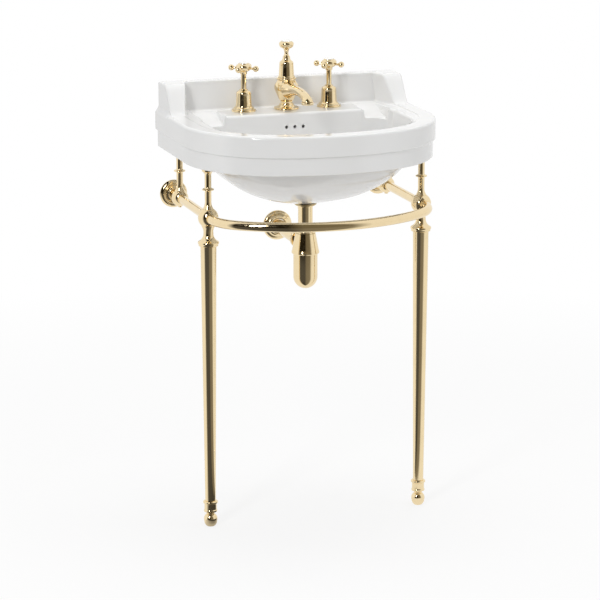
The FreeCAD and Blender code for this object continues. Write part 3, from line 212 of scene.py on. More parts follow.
class Shader(Nodes):
    """One material under construction."""

    def __init__(self, name: str) -> None:
        """Makes an empty material with a surface shader.

        Args:
            name: the material's name.
        """
        self.material = bpy.data.materials.new(name)
        self.material.use_nodes = True
        super().__init__(self.material.node_tree)
        self.output = self.node("ShaderNodeOutputMaterial")
        self.surface = self.node("ShaderNodeBsdfPrincipled")
        self.join(self.surface.outputs[0], self.output.inputs["Surface"])
        self.place = self.node("ShaderNodeTexCoord").outputs["Object"]

    def fix(self, **values: Union[float, Sequence[float]]) -> None:
        """Sets plain values on the surface shader, with underscores for spaces."""
        for name, value in values.items():
            self.surface.inputs[name.replace("_", " ")].default_value = value

    def feed(self, socket: str, value: Union[Signal, bpy.types.NodeSocket]) -> None:
        """Links a varying value or colour to the surface shader."""
        self.join(value.socket if isinstance(value, Signal) else value, self.surface.inputs[socket])

    def stretched(self, scale: Point, turn: Point = (0.0, 0.0, 0.0)) -> bpy.types.NodeSocket:
        """Object coordinates, scaled and turned.

        Args:
            scale: scale along each axis.
            turn: turn about each axis in radians.

        Returns:
            The mapped coordinates.
        """
        mapping = self.node(
            "ShaderNodeMapping", None, {"Vector": self.place, "Scale": scale, "Rotation": turn}
        )
        return mapping.outputs[0]

    def noise(
        self,
        scale: float,
        detail: float = 2.0,
        roughness: float = 0.5,
        place: Optional[bpy.types.NodeSocket] = None,
    ) -> Signal:
        """Cloudy noise.

        Args:
            scale: how fine the clouds are, per metre.
            detail: number of finer layers.
            roughness: strength of the finer layers.
            place: coordinates, or the object's own.

        Returns:
            The noise, about 0 to 1.
        """
        made = self.node(
            "ShaderNodeTexNoise",
            None,
            {
                "Vector": place or self.place,
                "Scale": scale,
                "Detail": detail,
                "Roughness": roughness,
            },
        )
        return Signal(self, made.outputs[0])

    def cells(self, scale: float, place: Optional[bpy.types.NodeSocket] = None) -> Signal:
        """Distance to scattered points, for specks and pits."""
        made = self.node(
            "ShaderNodeTexVoronoi", None, {"Vector": place or self.place, "Scale": scale}
        )
        return Signal(self, made.outputs[0])

    def tinted(
        self, factor: Signal, low: Sequence[float], high: Sequence[float]
    ) -> bpy.types.NodeSocket:
        """Blend of two colours.

        Args:
            factor: 0 for the first colour, 1 for the second.
            low: first colour.
            high: second colour.

        Returns:
            The blended colour.
        """
        made = self.node(
            "ShaderNodeMix",
            {"data_type": "RGBA"},
            {"Factor": factor, 6: (*low, 1.0), 7: (*high, 1.0)},
        )
        return made.outputs[2]

    def relief(self, height: Signal, depth: float, strength: float = 1.0) -> None:
        """Raises fine relief on the surface.

        Args:
            height: the relief, about 0 to 1.
            depth: its depth in metres.
            strength: how much of it shows.
        """
        made = self.node(
            "ShaderNodeBump", None, {"Strength": strength, "Distance": depth, "Height": height}
        )
        self.feed("Normal", made.outputs[0])


# ---------------------------------------------------------------- finishes


@dataclass(frozen=True)
class Glaze:
    """Fired white glaze over china."""

    name: str
    body: tuple[float, float, float]
    pooled: tuple[float, float, float]
    roughness: float

    def made(self) -> bpy.types.Material:
        """Builds the finish.

        Returns:
            The material.
        """
        shader = Shader(self.name)
        drift = shader.noise(5.0, 3.0)
        specks = 1.0 - shader.cells(900.0).above(0.035, 0.02)
        thin = shader.noise(1400.0, 0.0).above(0.66, 0.1)
        shader.feed(
            "Base Color", shader.tinted(drift * 0.55 + specks * thin * 0.5, self.body, self.pooled)
        )
        dulled = shader.noise(38.0, 4.0).above(0.62, 0.3)
        shader.feed("Roughness", dulled * 0.035 + self.roughness)
        peel = shader.noise(150.0, 2.0, 0.4) * 0.8 + shader.noise(24.0, 1.0) * 3.0
        shader.relief(peel, 0.00006, 0.5)
        shader.fix(IOR=1.52, Coat_Weight=0.35, Coat_Roughness=0.03, Subsurface_Weight=0.06)
        shader.fix(Subsurface_Radius=(0.004, 0.0036, 0.003))
        return shader.material


@dataclass(frozen=True)
class Polished:
    """Polished metal with faint lathe lines, wiping marks and dull patches."""

    name: str
    bright: tuple[float, float, float]
    deep: tuple[float, float, float]
    roughness: float
    lines: float

    def made(self) -> bpy.types.Material:
        """Builds the finish.

        Returns:
            The material.
        """
        shader = Shader(self.name)
        cloud = shader.noise(21.0, 3.0)
        grime = shader.noise(75.0, 5.0, 0.6).above(0.6, 0.35)
        tone = cloud * 0.7 + grime * 0.3
        shader.feed("Base Color", shader.tinted(tone, self.bright, self.deep))
        rings = shader.noise(1.0, 1.0, 0.5, shader.stretched((30.0, 30.0, 2600.0)))
        wiped = shader.noise(1.0, 2.0, 0.6, shader.stretched((340.0, 60.0, 340.0), (0.5, 0.3, 0.9)))
        shader.feed(
            "Roughness", grime * 0.09 + rings * 0.05 + wiped.above(0.6, 0.3) * 0.05 + self.roughness
        )
        shader.relief(rings * self.lines + wiped * 0.4 * self.lines, 0.00001, 0.35)
        shader.fix(Metallic=1.0)
        return shader.material


@dataclass(frozen=True)
class Moulded:
    """Moulded rubber or plastic with a fine grain and dusty patches."""

    name: str
    tone: tuple[float, float, float]
    dusty: tuple[float, float, float]
    roughness: float

    def made(self) -> bpy.types.Material:
        """Builds the finish.

        Returns:
            The material.
        """
        shader = Shader(self.name)
        dust = shader.noise(60.0, 4.0).above(0.55, 0.4)
        shader.feed("Base Color", shader.tinted(dust, self.tone, self.dusty))
        shader.feed("Roughness", dust * 0.15 + self.roughness)
        shader.relief(shader.noise(1900.0, 1.0), 0.00004, 0.5)
        return shader.material


class Finish(Enum):
    """The finishes of the sink, by the record's slots."""

    CHINA = "china"
    INDEX_CHINA = "index_china"
    POLISHED_BRASS = "polished_brass"
    PLAIN_METAL = "plain_metal"
    RUBBER = "rubber"
    TRAP_PLASTIC = "trap_plastic"


RECIPES: dict[Finish, Union[Glaze, Polished, Moulded]] = {
    Finish.CHINA: Glaze("china_glaze", (0.81, 0.81, 0.805), (0.77, 0.77, 0.76), 0.07),
    Finish.INDEX_CHINA: Glaze("index_glaze", (0.86, 0.85, 0.82), (0.82, 0.8, 0.76), 0.1),
    Finish.POLISHED_BRASS: Polished(
        "polished_brass", (0.93, 0.765, 0.485), (0.84, 0.68, 0.42), 0.05, 0.8
    ),
    Finish.PLAIN_METAL: Polished("machined_brass", (0.62, 0.5, 0.29), (0.5, 0.4, 0.23), 0.34, 4.0),
    Finish.RUBBER: Moulded("washer_rubber", (0.018, 0.018, 0.02), (0.05, 0.05, 0.048), 0.62),
    Finish.TRAP_PLASTIC: Moulded("trap_plastic", (0.7, 0.69, 0.66), (0.6, 0.58, 0.54), 0.4),
}


class Wardrobe:
    """Makes each finish once and puts it on pieces."""

    def __init__(self) -> None:
        """Starts with nothing made."""
        self.made: dict[Finish, bpy.types.Material] = {}

    def dress(self, piece: bpy.types.Object, finish: Finish) -> None:
        """Gives a piece one finish all over.

        Args:
            piece: the mesh.
            finish: which finish.
        """
        if finish not in self.made:
            self.made[finish] = RECIPES[finish].made()
        piece.data.materials.clear()
        piece.data.materials.append(self.made[finish])

    def dress_frame(self) -> None:
        """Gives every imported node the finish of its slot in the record."""
        for entry in frame["record"]["subparts"]:
            piece = frame["nodes"][entry["node"]]
            self.dress(piece, Finish(entry["material_slot"]))


# ---------------------------------------------------------------- shaping


class Bench:
    """Mesh work that every piece shares."""

    @staticmethod
    def clear() -> None:
        """Leaves edit mode and deselects everything."""
        if bpy.context.object and bpy.context.object.mode != "OBJECT":
            bpy.ops.object.mode_set(mode="OBJECT")
        bpy.ops.object.select_all(action="DESELECT")

    @staticmethod
    def alone(piece: bpy.types.Object) -> None:
        """Selects one piece alone and makes it the active one."""
        Bench.clear()
        piece.select_set(True)
        bpy.context.view_layer.objects.active = piece

    @staticmethod
    def shaped(piece: bpy.types.Object, kind: str, **settings: object) -> None:
        """Adds a modifier to a piece and applies it.

        Args:
            piece: the mesh.
            kind: the modifier's type.
            settings: its settings, by name.
        """
        modifier = piece.modifiers.new(kind.lower(), kind)
        for name, value in settings.items():
            setattr(modifier, name, value)
        Bench.alone(piece)
        bpy.ops.object.modifier_apply(modifier=modifier.name)

    @staticmethod
    def shaded(piece: bpy.types.Object, smooth_to: float) -> None:
        """Smooths a piece's shading up to an angle in degrees."""
        Bench.alone(piece)
        bpy.ops.object.shade_smooth_by_angle(angle=math.radians(smooth_to))

    @staticmethod
    def tidy(piece: bpy.types.Object, weld: float, smooth_to: float) -> None:
        """Welds doubles, turns faces outwards and smooths the shading up to an angle.

        Args:
            piece: the mesh.
            weld: greatest distance between points that are welded, in metres.
            smooth_to: greatest angle in degrees that still shades smooth.
        """
        Bench.alone(piece)
        bpy.ops.object.mode_set(mode="EDIT")
        bpy.ops.mesh.select_all(action="SELECT")
        bpy.ops.mesh.remove_doubles(threshold=weld)
        bpy.ops.mesh.dissolve_degenerate(threshold=weld)
        bpy.ops.mesh.normals_make_consistent(inside=False)
        bpy.ops.object.mode_set(mode="OBJECT")
        Bench.shaded(piece, smooth_to)

    @staticmethod
    def twin(piece: bpy.types.Object) -> bpy.types.Object:
        """Copies a piece with a mesh of its own."""
        copy = piece.copy()
        copy.data = piece.data.copy()
        bpy.context.scene.collection.objects.link(copy)
        return copy

    @staticmethod
    def skin(name: str, rows: Sequence[Sequence[Point]]) -> bpy.types.Object:
        """Lays a grid over rows of points in millimetres.

        Args:
            name: the piece's name.
            rows: rows of equally many points.

        Returns:
            The mesh, not yet welded.
        """
        Bench.clear()
        wide, long = len(rows[0]), len(rows)
        bpy.ops.mesh.primitive_grid_add(x_subdivisions=wide - 1, y_subdivisions=long - 1)
        piece = bpy.context.object
        piece.name = name
        piece.data.name = name
        places = [c * MM for row in rows for point in row for c in point]
        piece.data.vertices.foreach_set("co", places)
        piece.data.update()
        return piece

    @staticmethod
    def joined(name: str, pieces: Sequence[bpy.types.Object]) -> bpy.types.Object:
        """Joins meshes into the first and names it."""
        Bench.alone(pieces[0])
        for piece in pieces[1:]:
            piece.select_set(True)
        bpy.ops.object.join()
        pieces[0].name = name
        pieces[0].data.name = name
        return pieces[0]

    @staticmethod
    def settle(piece: bpy.types.Object) -> None:
        """Writes the piece's place and turn into its mesh."""
        Bench.alone(piece)
        bpy.ops.object.transform_apply(location=True, rotation=True, scale=True)


def smooth_step(value: float, low: float, high: float) -> float:
    """Soft step from 0 to 1 between two values."""
    share = min(max((value - low) / (high - low), 0.0), 1.0)
    return share * share * (3.0 - 2.0 * share)


def soft_max(a: float, b: float, reach: float) -> float:
    """Greater of two values, with a round of the given reach where they cross."""
    share = max(reach - abs(a - b), 0.0) / reach
    return max(a, b) + share * share * reach * 0.25


def soft_min(a: float, b: float, reach: float) -> float:
    """Lesser of two values, with a round of the given reach where they cross."""
    return -soft_max(-a, -b, reach)


def eased(a: float, b: float, c: float, d: float, share: float) -> float:
    """Smooth curve from the second of four values to the third.

    Args:
        a: the value before.
        b: where the curve starts.
        c: where it ends.
        d: the value after.
        share: how far along it, from 0 to 1.

    Returns:
        The value there.
    """
    bend = 2 * a - 5 * b + 4 * c - d + share * (3 * (b - c) + d - a)
    return b + 0.5 * share * (c - a + share * bend)


def quarter(steps: int, first: int = 0) -> list[Place]:
    """Steps of a quarter round of radius 1.

    Args:
        steps: how many there are.
        first: the step to start at.

    Returns:
        How much is left of the way up, and how far in it has come, at each step.
    """
    angles = [math.pi / 2 * step / steps for step in range(first, steps + 1)]
    return [(1.0 - math.sin(angle), 1.0 - math.cos(angle)) for angle in angles]


def between(start: Sequence[Place], end: Sequence[Place], share: float) -> list[Place]:
    """Ring that lies between two others, at a share of the way."""
    return [
        (a + (c - a) * share, b + (d - b) * share) for (a, b), (c, d) in zip(start, end)
    ]


# ---------------------------------------------------------------- basin


@dataclass
class Bow:
    """Three-arc bow between two sides: corner arcs into one wide front arc, in millimetres."""

    half: float
    spring: float
    depth: float
    corner: float
    front: float = field(init=False)
    tip: float = field(init=False)

    def __post_init__(self) -> None:
        """Works out the front arc."""
        over = self.half * self.half - 2 * self.half * self.corner + self.depth * self.depth
        self.front = over / (2 * (self.depth - self.corner))
        gap = self.half - self.corner
        self.tip = math.atan2(gap, self.front - self.depth)

    def point(self, share: float) -> Place:
        """Point on the bow, from 0 at the left spring to 1 at the right one.

        Args:
            share: share of the whole length.

        Returns:
            Its place across and along.
        """
        bend = math.pi / 2 - self.tip
        corner_run = self.corner * bend
        front_run = self.front * self.tip * 2
        run = share * (2 * corner_run + front_run)
        side = -1.0
        if run > corner_run + front_run / 2:
            run = 2 * corner_run + front_run - run
            side = 1.0
        if run <= corner_run:
            angle = run / self.corner
            across = self.half - self.corner + self.corner * math.cos(angle)
            along = self.spring - self.corner * math.sin(angle)
        else:
            angle = math.pi / 2 - (self.tip - (run - corner_run) / self.front)
            across = self.front * math.cos(angle)
            along = self.spring - self.depth + self.front - self.front * math.sin(angle)
        return side * across, along


@dataclass
class Basin:
    """The glazed basin, as one skin of rings from the waste up, over the rim and back under."""

    wall: float = 230.0
    half: float = 285.0
    front: float = -218.0
    bow_depth: float = 230.0
    bow_corner: float = 219.0
    rim: float = 891.0
    deck: float = 888.0
    band_step: float = 5.5
    band_low: float = 806.0
    band_high: float = 845.0
    border: float = 37.0
    crest: float = 953.0
    ledge: float = 8.0
    cheek_front: float = 245.0
    cheek_rear: float = 221.0
    crest_back: float = 208.0
    foot_back: float = 193.0
    rake_top: float = 170.0
    rake_foot: float = 126.0
    mouth_half: float = 222.0
    mouth_front: float = -170.0
    mouth_depth: float = 152.0
    mouth_corner: float = 137.0
    mouth_back: float = 100.0
    mouth_bend: float = 36.0
    bowl_depth: float = 172.0
    bowl_wall: float = 12.0
    waste: Place = (0.0, 25.0)
    seat: float = 31.5
    drain: float = 22.5
    drain_deep: float = 13.0
    lip_round: float = 7.0
    foot_fillet: float = 6.0
    crest_round: float = 5.0
    curb_share: float = 0.45
    rim_round: float = 6.0
    band_round: float = 2.5
    step_fillet: float = 2.0
    apron_wall: float = 18.0
    roof: float = 874.0
    recess: tuple[float, float] = (163.0, 216.0)
    recess_fall: float = 28.0
    recess_run: float = 109.0
    stations: tuple[tuple[float, float], ...] = (
        (0.0, 1.0), (0.3, 0.97), (0.5, 0.905), (0.64, 0.82),
        (0.78, 0.67), (0.88, 0.51), (0.945, 0.34), (1.0, 0.15),
    )
    overflow_holes: tuple[Point, ...] = tuple((x, 103.0, 857.0) for x in (-19.5, 0.0, 19.5))
    overflow_radius: float = 3.8
    wall_holes: tuple[Point, ...] = tuple((x, 222.0, 826.0) for x in (-140.0, 140.0))
    wall_radius: float = 5.0
    drill_length: float = 30.0
    bosses_at: tuple[Place, ...] = tuple((x, y) for x in (-245.0, 245.0) for y in (-48.0, 176.0))
    bow_columns: int = 132
    side_columns: int = 34

    def back_columns(self) -> list[float]:
        """Places across the back, close together at the edges of the recesses.

        Returns:
            Places from the right corner to the left one.
        """
        inner, outer = self.recess
        marks = [self.cheek_rear, 219.5]
        marks += [outer + d for d in (2.4, 1.6, 0.8, 0.0, -0.8, -1.6, -2.4)]
        marks += [208.0, 200.0, 190.0, 180.0, 172.0]
        marks += [inner + d for d in (2.4, 1.6, 0.8, 0.0, -0.8, -1.6, -2.4)]
        marks += [154.0 - 8.5 * i for i in range(18)]
        return marks + [-mark for mark in reversed(marks)]

    def outer_ring(self, inset: float, back_inset: float) -> list[Place]:
        """Outline of the basin moved inwards, from the left spring round the front.

        Args:
            inset: how far in round the front and sides.
            back_inset: how far in from the wall.

        Returns:
            Places across and along, one for each column.
        """
        spring = self.front + self.bow_depth
        bow = Bow(self.half - inset, spring, self.bow_depth - inset, self.bow_corner - inset)
        return self._ring(bow, self.half - inset, self.wall - back_inset, self.half - inset)

    def cheek_ring(self, inwards: float, back: float) -> list[Place]:
        """Outline along the cheeks' inner faces and the border's inner edge.

        Args:
            inwards: how far in from the border's inner edge.
            back: place of the back line.

        Returns:
            Places across and along, one for each column.
        """
        inset = self.border + inwards
        spring = self.front + self.bow_depth
        bow = Bow(self.half - inset, spring, self.bow_depth - inset, self.bow_corner - inset)
        corner = self.cheek_rear - inwards
        ring = self._ring(bow, self.half - inset, back, corner)
        moved = []
        for across, along in ring:
            if along > spring and abs(across) > corner - 0.01:
                rake = min(max((along - 125.0) / (back - 125.0), 0.0), 1.0)
                near = smooth_step(along, 100.0, 128.0)
                side = self.half - inset - near * (self.half - self.border - self.cheek_front)
                limit = side + (corner - side) * rake
                across = math.copysign(limit, across)
            moved.append((across, along))
        return moved

    def _ring(
        self, bow: Bow, half: float, back: float, corner: float
    ) -> list[Place]:
        """Points round a bow, up the right side, along the back and down the left side.

        Args:
            bow: the front of the ring.
            half: half its width at the sides.
            back: place of the back line.
            corner: half the back line's length.

        Returns:
            Places across and along, one for each column.
        """
        scale = corner / self.cheek_rear
        line = [(across * scale, back) for across in self.back_columns()]
        return self._round(bow, half, back, line)

    def _round(self, bow: Bow, half: float, corner: float, line: list[Place]) -> list[Place]:
        """Joins a bow and a back line with evenly divided sides.

        Args:
            bow: the front of the ring.
            half: half its width at the sides.
            corner: how far back the sides run.
            line: the back, from right to left.

        Returns:
            Places across and along, one for each column.
        """
        count = self.side_columns
        rise = corner - bow.spring
        front = [bow.point(i / self.bow_columns) for i in range(self.bow_columns)]
        right = [(half, bow.spring + rise * (i / count)) for i in range(count)]
        left = [(-half, bow.spring + rise * (1.0 - (i + 1) / count)) for i in range(count)]
        return front + right + line + left

    def mouth_ring(self, grow: float, share: float) -> list[Place]:
        """Outline of the bowl, grown and drawn in towards the waste.

        Args:
            grow: how far out from the mouth's edge.
            share: width as a share of the mouth.

        Returns:
            Places across and along, one for each column.
        """
        low = self.waste[1]
        half = (self.mouth_half + grow) * share
        spring = low + (self.mouth_front + self.mouth_depth - low) * share
        depth = (self.mouth_depth + grow) * share
        back = low + (self.mouth_back + grow - low) * share
        bend = (self.mouth_bend + grow) * share
        bow = Bow(half, spring, depth, (self.mouth_corner + grow) * share)
        corner_x = self.cheek_rear * share * (1.0 + grow / self.mouth_half)
        inner = half - bend
        reach = min(corner_x - inner, bend * 0.9999)
        corner_y = back - bend + math.sqrt(max(bend * bend - reach * reach, 0.0))
        line = []
        for across in self.back_columns():
            x = across / self.cheek_rear * corner_x
            past = max(abs(x) - inner, 0.0)
            dip = bend - math.sqrt(max(bend * bend - past * past, 0.0))
            line.append((x, back - dip))
        return self._round(bow, half, corner_y, line)

    def circle_ring(self, radius: float) -> list[Place]:
        """Circle round the waste with the bowl's columns."""
        x, y = self.waste
        ring = []
        for across, along in self.mouth_ring(0.0, self.stations[-1][1]):
            angle = math.atan2(along - y, across - x)
            ring.append((x + radius * math.cos(angle), y + radius * math.sin(angle)))
        return ring

    def top_height(self, along: float) -> float:
        """Height of the rim and of the cheeks' raked tops, by the place along."""
        slope = (self.crest - self.rim + 1.0) / (self.rake_top - self.rake_foot)
        raked = self.rim - 1.0 + (along - self.rake_foot) * slope
        return soft_max(soft_min(raked, self.crest, 7.0), self.rim, 6.0)

    def deck_height(self, across: float, along: float) -> float:
        """Height of the deck, with the ramped recess at each side of the tap platform.

        Args:
            across: place across.
            along: place along.

        Returns:
            The height.
        """
        inner, outer = self.recess
        inside = smooth_step(abs(across), inner - 2.6, inner + 2.6)
        inside *= 1.0 - smooth_step(abs(across), outer - 2.6, outer + 2.6)
        inside *= smooth_step(along, 20.0, 45.0)
        return self.deck - inside * soft_max(self._fall(along) - 2.0, 0.0, 4.0)

    def _fall(self, along: float) -> float:
        """How far a recess's ramp has dropped at a place along."""
        return max(self.foot_back - 4.0 - along, 0.0) * self.recess_fall / self.recess_run

    @staticmethod
    def lifted(
        ring: Sequence[Place], height: Union[float, Callable[[float, float], float]]
    ) -> list[Point]:
        """Gives a ring its height, the same all round or worked out for each place."""
        if callable(height):
            return [(x, y, height(x, y)) for x, y in ring]
        return [(x, y, height) for x, y in ring]

    def bowl_rows(self) -> list[list[Point]]:
        """Rings of the bowl from the waste up to the mouth's rounded lip.

        Returns:
            The rings, lowest first.
        """
        floor = self.deck - self.bowl_depth
        rows = [
            self.lifted(self.circle_ring(self.drain), floor - self.drain_deep),
            self.lifted(self.circle_ring(self.drain), floor - 1.0),
            self.lifted(self.circle_ring(self.seat), floor),
        ]
        count = 46
        for index in range(count + 1):
            share = index / count
            drop, width = self._station(share)
            height = self.deck - self.bowl_depth * drop
            rows.append(self._bowl_ring(width, height, share))
        return rows

    def _station(self, share: float) -> Place:
        """Depth and width of the bowl at a share of the way up, through the stations.

        Args:
            share: from 0 at the waste to 1 at the mouth.

        Returns:
            Both as shares of the whole.
        """
        points = list(reversed(self.stations))
        place = share * (len(points) - 1)
        index = min(int(place), len(points) - 2)
        near = [points[min(max(index + step, 0), len(points) - 1)] for step in (-1, 0, 1, 2)]
        drop, width = (eased(*values, place - index) for values in zip(*near))
        return drop, width

    def _bowl_ring(self, width: float, height: float, share: float) -> list[Point]:
        """One ring of the bowl, cut down where a recess runs into it.

        Args:
            width: its width as a share of the mouth.
            height: its height.
            share: how far up the bowl it is.

        Returns:
            The ring.
        """
        ring = self.mouth_ring(0.0, width)
        low = self.circle_ring(self.seat)
        merge = smooth_step(share, 0.0, 0.12)
        points = []
        for (x, y), (u, v) in zip(ring, low):
            x, y = u + (x - u) * merge, v + (y - v) * merge
            top = self.deck_height(x, y) - 0.2 if abs(x) > 150.0 and y > 40.0 else self.deck
            points.append((x, y, soft_min(height, top, 5.0) if top < self.deck - 1.0 else height))
        return points

    def rows(self) -> list[list[Point]]:
        """All rings: bowl, lip, deck, upstand, rim, apron and underside.

        Returns:
            The rings in order, each with one point for every column.
        """
        rows = self.bowl_rows()[:-3]
        for down, out in quarter(6):
            row = []
            for x, y in self.mouth_ring(self.lip_round * out, 1.0):
                level = self.deck_height(x, y)
                sunk = level <= self.deck - 1.0
                row.append((x, y, level if sunk else level - self.lip_round * down))
            rows.append(row)
        mouth = self.mouth_ring(self.lip_round, 1.0)
        foot = self.cheek_ring(7.0, self.foot_back - 7.0)
        for share in (0.06, 0.15, 0.27, 0.4, 0.55, 0.7, 0.83, 0.93):
            rows.append(self.lifted(between(mouth, foot, share), self.deck_height))
        rows += self._inner_face()
        rows += self._rim()
        rows += self._apron()
        rows += self._underside()
        return rows

    def _curb(self, top: float, base: float) -> float:
        """Depth of the crest's round where the top is so high, less over the low border."""
        return min(self.crest_round, (top - base) * self.curb_share)

    def _inner_face(self) -> list[list[Point]]:
        """Rings up the inner face of the border, cheeks and upstand, with a filleted foot.

        Returns:
            The rings.
        """
        rows = []
        for inwards, up in quarter(5):
            inset = self.foot_fillet * inwards
            row = []
            for x, y in self.cheek_ring(inset, self.foot_back - inset):
                tall = self.top_height(y) - self.deck
                rise = min(self.foot_fillet * up, tall * self.curb_share)
                row.append((x, y, self.deck_height(x, y) + rise))
            rows.append(row)
        for step in range(1, 9):
            share = step / 8
            row = []
            back = self.foot_back + (self.crest_back - self.foot_back) * share
            for x, y in self.cheek_ring(0.0, back):
                top = self.top_height(y)
                low = self.deck + min(self.foot_fillet, (top - self.deck) * self.curb_share)
                row.append((x, y, low + (top - self._curb(top, self.deck) - low) * share))
            rows.append(row)
        for down, out in quarter(6, 1):
            outwards = self.crest_round * out
            row = []
            for x, y in self.cheek_ring(-outwards, self.crest_back + outwards):
                top = self.top_height(y)
                row.append((x, y, top - self._curb(top, self.deck) * down))
            rows.append(row)
        return rows

    def _rim(self) -> list[list[Point]]:
        """Rings over the crest, down the cheeks' outer faces and over the rim's round.

        Returns:
            The rings.
        """
        rows = []
        inner = self.cheek_ring(-self.crest_round, self.crest_back + self.crest_round)
        outer = self.outer_ring(self.ledge + self.crest_round, 4.0)
        for share in (0.25, 0.5, 0.75, 1.0):
            rows.append([(x, y, self.top_height(y)) for x, y in between(inner, outer, share)])
        for step, (inwards, down) in enumerate(quarter(5, 1), 1):
            row = []
            for x, y in self.outer_ring(
                self.ledge + self.crest_round * inwards, 4.0 - 3.6 * step / 5
            ):
                top = self.top_height(y)
                row.append((x, y, top - self._curb(top, self.rim) * down))
            rows.append(row)
        for step in range(1, 7):
            share = step / 6
            row = []
            for x, y in self.outer_ring(self.ledge, 0.4 - 0.2 * share):
                top = self.top_height(y)
                start = top - self._curb(top, self.rim)
                row.append((x, y, start - (start - self._skirt(top)) * share))
            rows.append(row)
        for step in range(1, 11):
            rows.append(self._rim_row(step / 10))
        return rows

    def _skirt(self, top: float) -> float:
        """Height at which a cheek's outer face starts to flow out over the rim."""
        return self.rim + min(8.0, (top - self.rim) * 0.4)

    def _rim_row(self, share: float) -> list[Point]:
        """One ring of the rim's round, which flows up into the cheeks where they stand.

        Args:
            share: how far round, from 0 on top to 1 on the apron.

        Returns:
            The ring.
        """
        angle = math.pi / 2 * share
        plain = self.outer_ring(self.rim_round * (1.0 - math.sin(angle)), 0.0)
        flowing = self.outer_ring(self.ledge * (1.0 - smooth_step(share, 0.0, 1.0)), 0.0)
        row = []
        for (a, b), (c, d) in zip(plain, flowing):
            top = self.top_height(d)
            cheek = smooth_step(top, self.rim + 0.5, self.rim + 14.0)
            start = self._skirt(top)
            low = start + (self.rim - 8.0 - start) * share
            high = self.rim - self.rim_round * (1.0 - math.cos(angle))
            row.append(
                (a + (c - a) * cheek, b + (d - b) * cheek, high + (low - high) * cheek)
            )
        return row

    def _apron(self) -> list[list[Point]]:
        """Rings down the two bands of the apron, with their rounded and filleted edges.

        Returns:
            The rings.
        """
        places = [(0.0, height) for height in (878.0, 866.0, 855.0)]
        edge, fillet = self.band_round, self.step_fillet
        for up, inwards in quarter(4):
            places.append((edge * inwards, self.band_high + edge * up))
        for outwards, down in quarter(4, 1):
            places.append((self.band_step - fillet * outwards, self.band_high - fillet * down))
        places += [(self.band_step, height) for height in (835.0, 822.0)]
        for up, inwards in quarter(4):
            places.append((self.band_step + edge * inwards, self.band_low + edge * up))
        return [self.lifted(self.outer_ring(inset, 0.0), height) for inset, height in places]

    def _below(self, across: float, along: float) -> float:
        """Height of the underside of the deck and of the recesses.

        Args:
            across: place across.
            along: place along.

        Returns:
            The height.
        """
        inner, outer = self.recess
        near = smooth_step(abs(across), inner - 16.0, inner - 8.0)
        near *= 1.0 - smooth_step(abs(across), outer + 8.0, outer + 16.0)
        near *= smooth_step(along, 10.0, 60.0)
        return self.roof - near * self._fall(along)

    def _underside(self) -> list[list[Point]]:
        """Rings inside the apron, under the deck and down the outside of the bowl.

        Returns:
            The rings.
        """
        inset = self.band_step + self.apron_wall
        start = self.outer_ring(inset, 18.0)
        rows = [self.lifted(self.outer_ring(inset - 2.0, 16.0), self.band_low)]
        rows += [self.lifted(start, height) for height in (self.band_low + 2.0, 830.0, 858.0)]
        end = self.mouth_ring(self.bowl_wall, 1.0)
        for share in (0.0, 0.12, 0.5, 0.85, 1.0):
            rows.append(self.lifted(between(start, end, share), self._below))
        deep = self.bowl_depth + self.bowl_wall
        for index in range(22, -1, -1):
            drop, width = self._station(index / 22)
            height = self.deck - 1.0 - deep * drop
            if height > self.roof - 8.0:
                continue
            ring = self.mouth_ring(self.bowl_wall, width)
            rows.append([(x, y, min(height, self._below(x, y) - 1.0)) for x, y in ring])
        foot = self.deck - self.bowl_depth - self.drain_deep
        rows += [self.lifted(self.circle_ring(radius), foot) for radius in (self.seat, self.drain)]
        return rows

    def bosses(self) -> list[bpy.types.Object]:
        """Round bosses under the rim that the four posts stand against.

        Returns:
            The bosses.
        """
        made = []
        for across, along in self.bosses_at:
            Bench.clear()
            bpy.ops.mesh.primitive_cylinder_add(
                vertices=64, radius=24.0 * MM, depth=66.0 * MM,
                location=(across * MM, along * MM, 839.0 * MM),
            )
            boss = bpy.context.object
            Bench.shaped(boss, "BEVEL", width=1.5 * MM, segments=3)
            Bench.settle(boss)
            made.append(boss)
        return made

    def housing(self) -> bpy.types.Object:
        """The overflow's raised way down the outside of the bowl's back.

        Returns:
            The housing.
        """
        stops = (
            (876.0, 106.0, 124.0), (781.4, 93.0, 114.0), (745.2, 77.0, 100.0), (703.0, 46.0, 69.0),
        )
        wide = 70.0
        Bench.clear()
        bpy.ops.mesh.primitive_cube_add(size=1.0)
        block = bpy.context.object
        bpy.ops.object.mode_set(mode="EDIT")
        bpy.ops.mesh.subdivide(number_cuts=2)
        bpy.ops.object.mode_set(mode="OBJECT")
        for vertex in block.data.vertices:
            level = min(3, max(0, round((0.5 - vertex.co.z) * 3)))
            height, front, rear = stops[level]
            along = front + (rear - front) * (vertex.co.y + 0.5)
            vertex.co = Vector((vertex.co.x * wide, along, height)) * MM
        Bench.shaped(block, "BEVEL", width=4.0 * MM, segments=3, limit_method="ANGLE")
        return block

    @staticmethod
    def drill(piece: bpy.types.Object, place: Point, radius: float, depth: float) -> None:
        """Drills a hole through a piece, level and straight back.

        Args:
            piece: what is drilled.
            place: the hole's middle, in millimetres.
            radius: its radius.
            depth: its length.
        """
        Bench.clear()
        bpy.ops.mesh.primitive_cylinder_add(
            vertices=40, radius=radius * MM, depth=depth * MM,
            location=Vector(place) * MM, rotation=(math.pi / 2, 0.0, 0.0),
        )
        bit = bpy.context.object
        Bench.shaped(piece, "BOOLEAN", operation="DIFFERENCE", solver="EXACT", object=bit)
        bpy.data.objects.remove(bit)

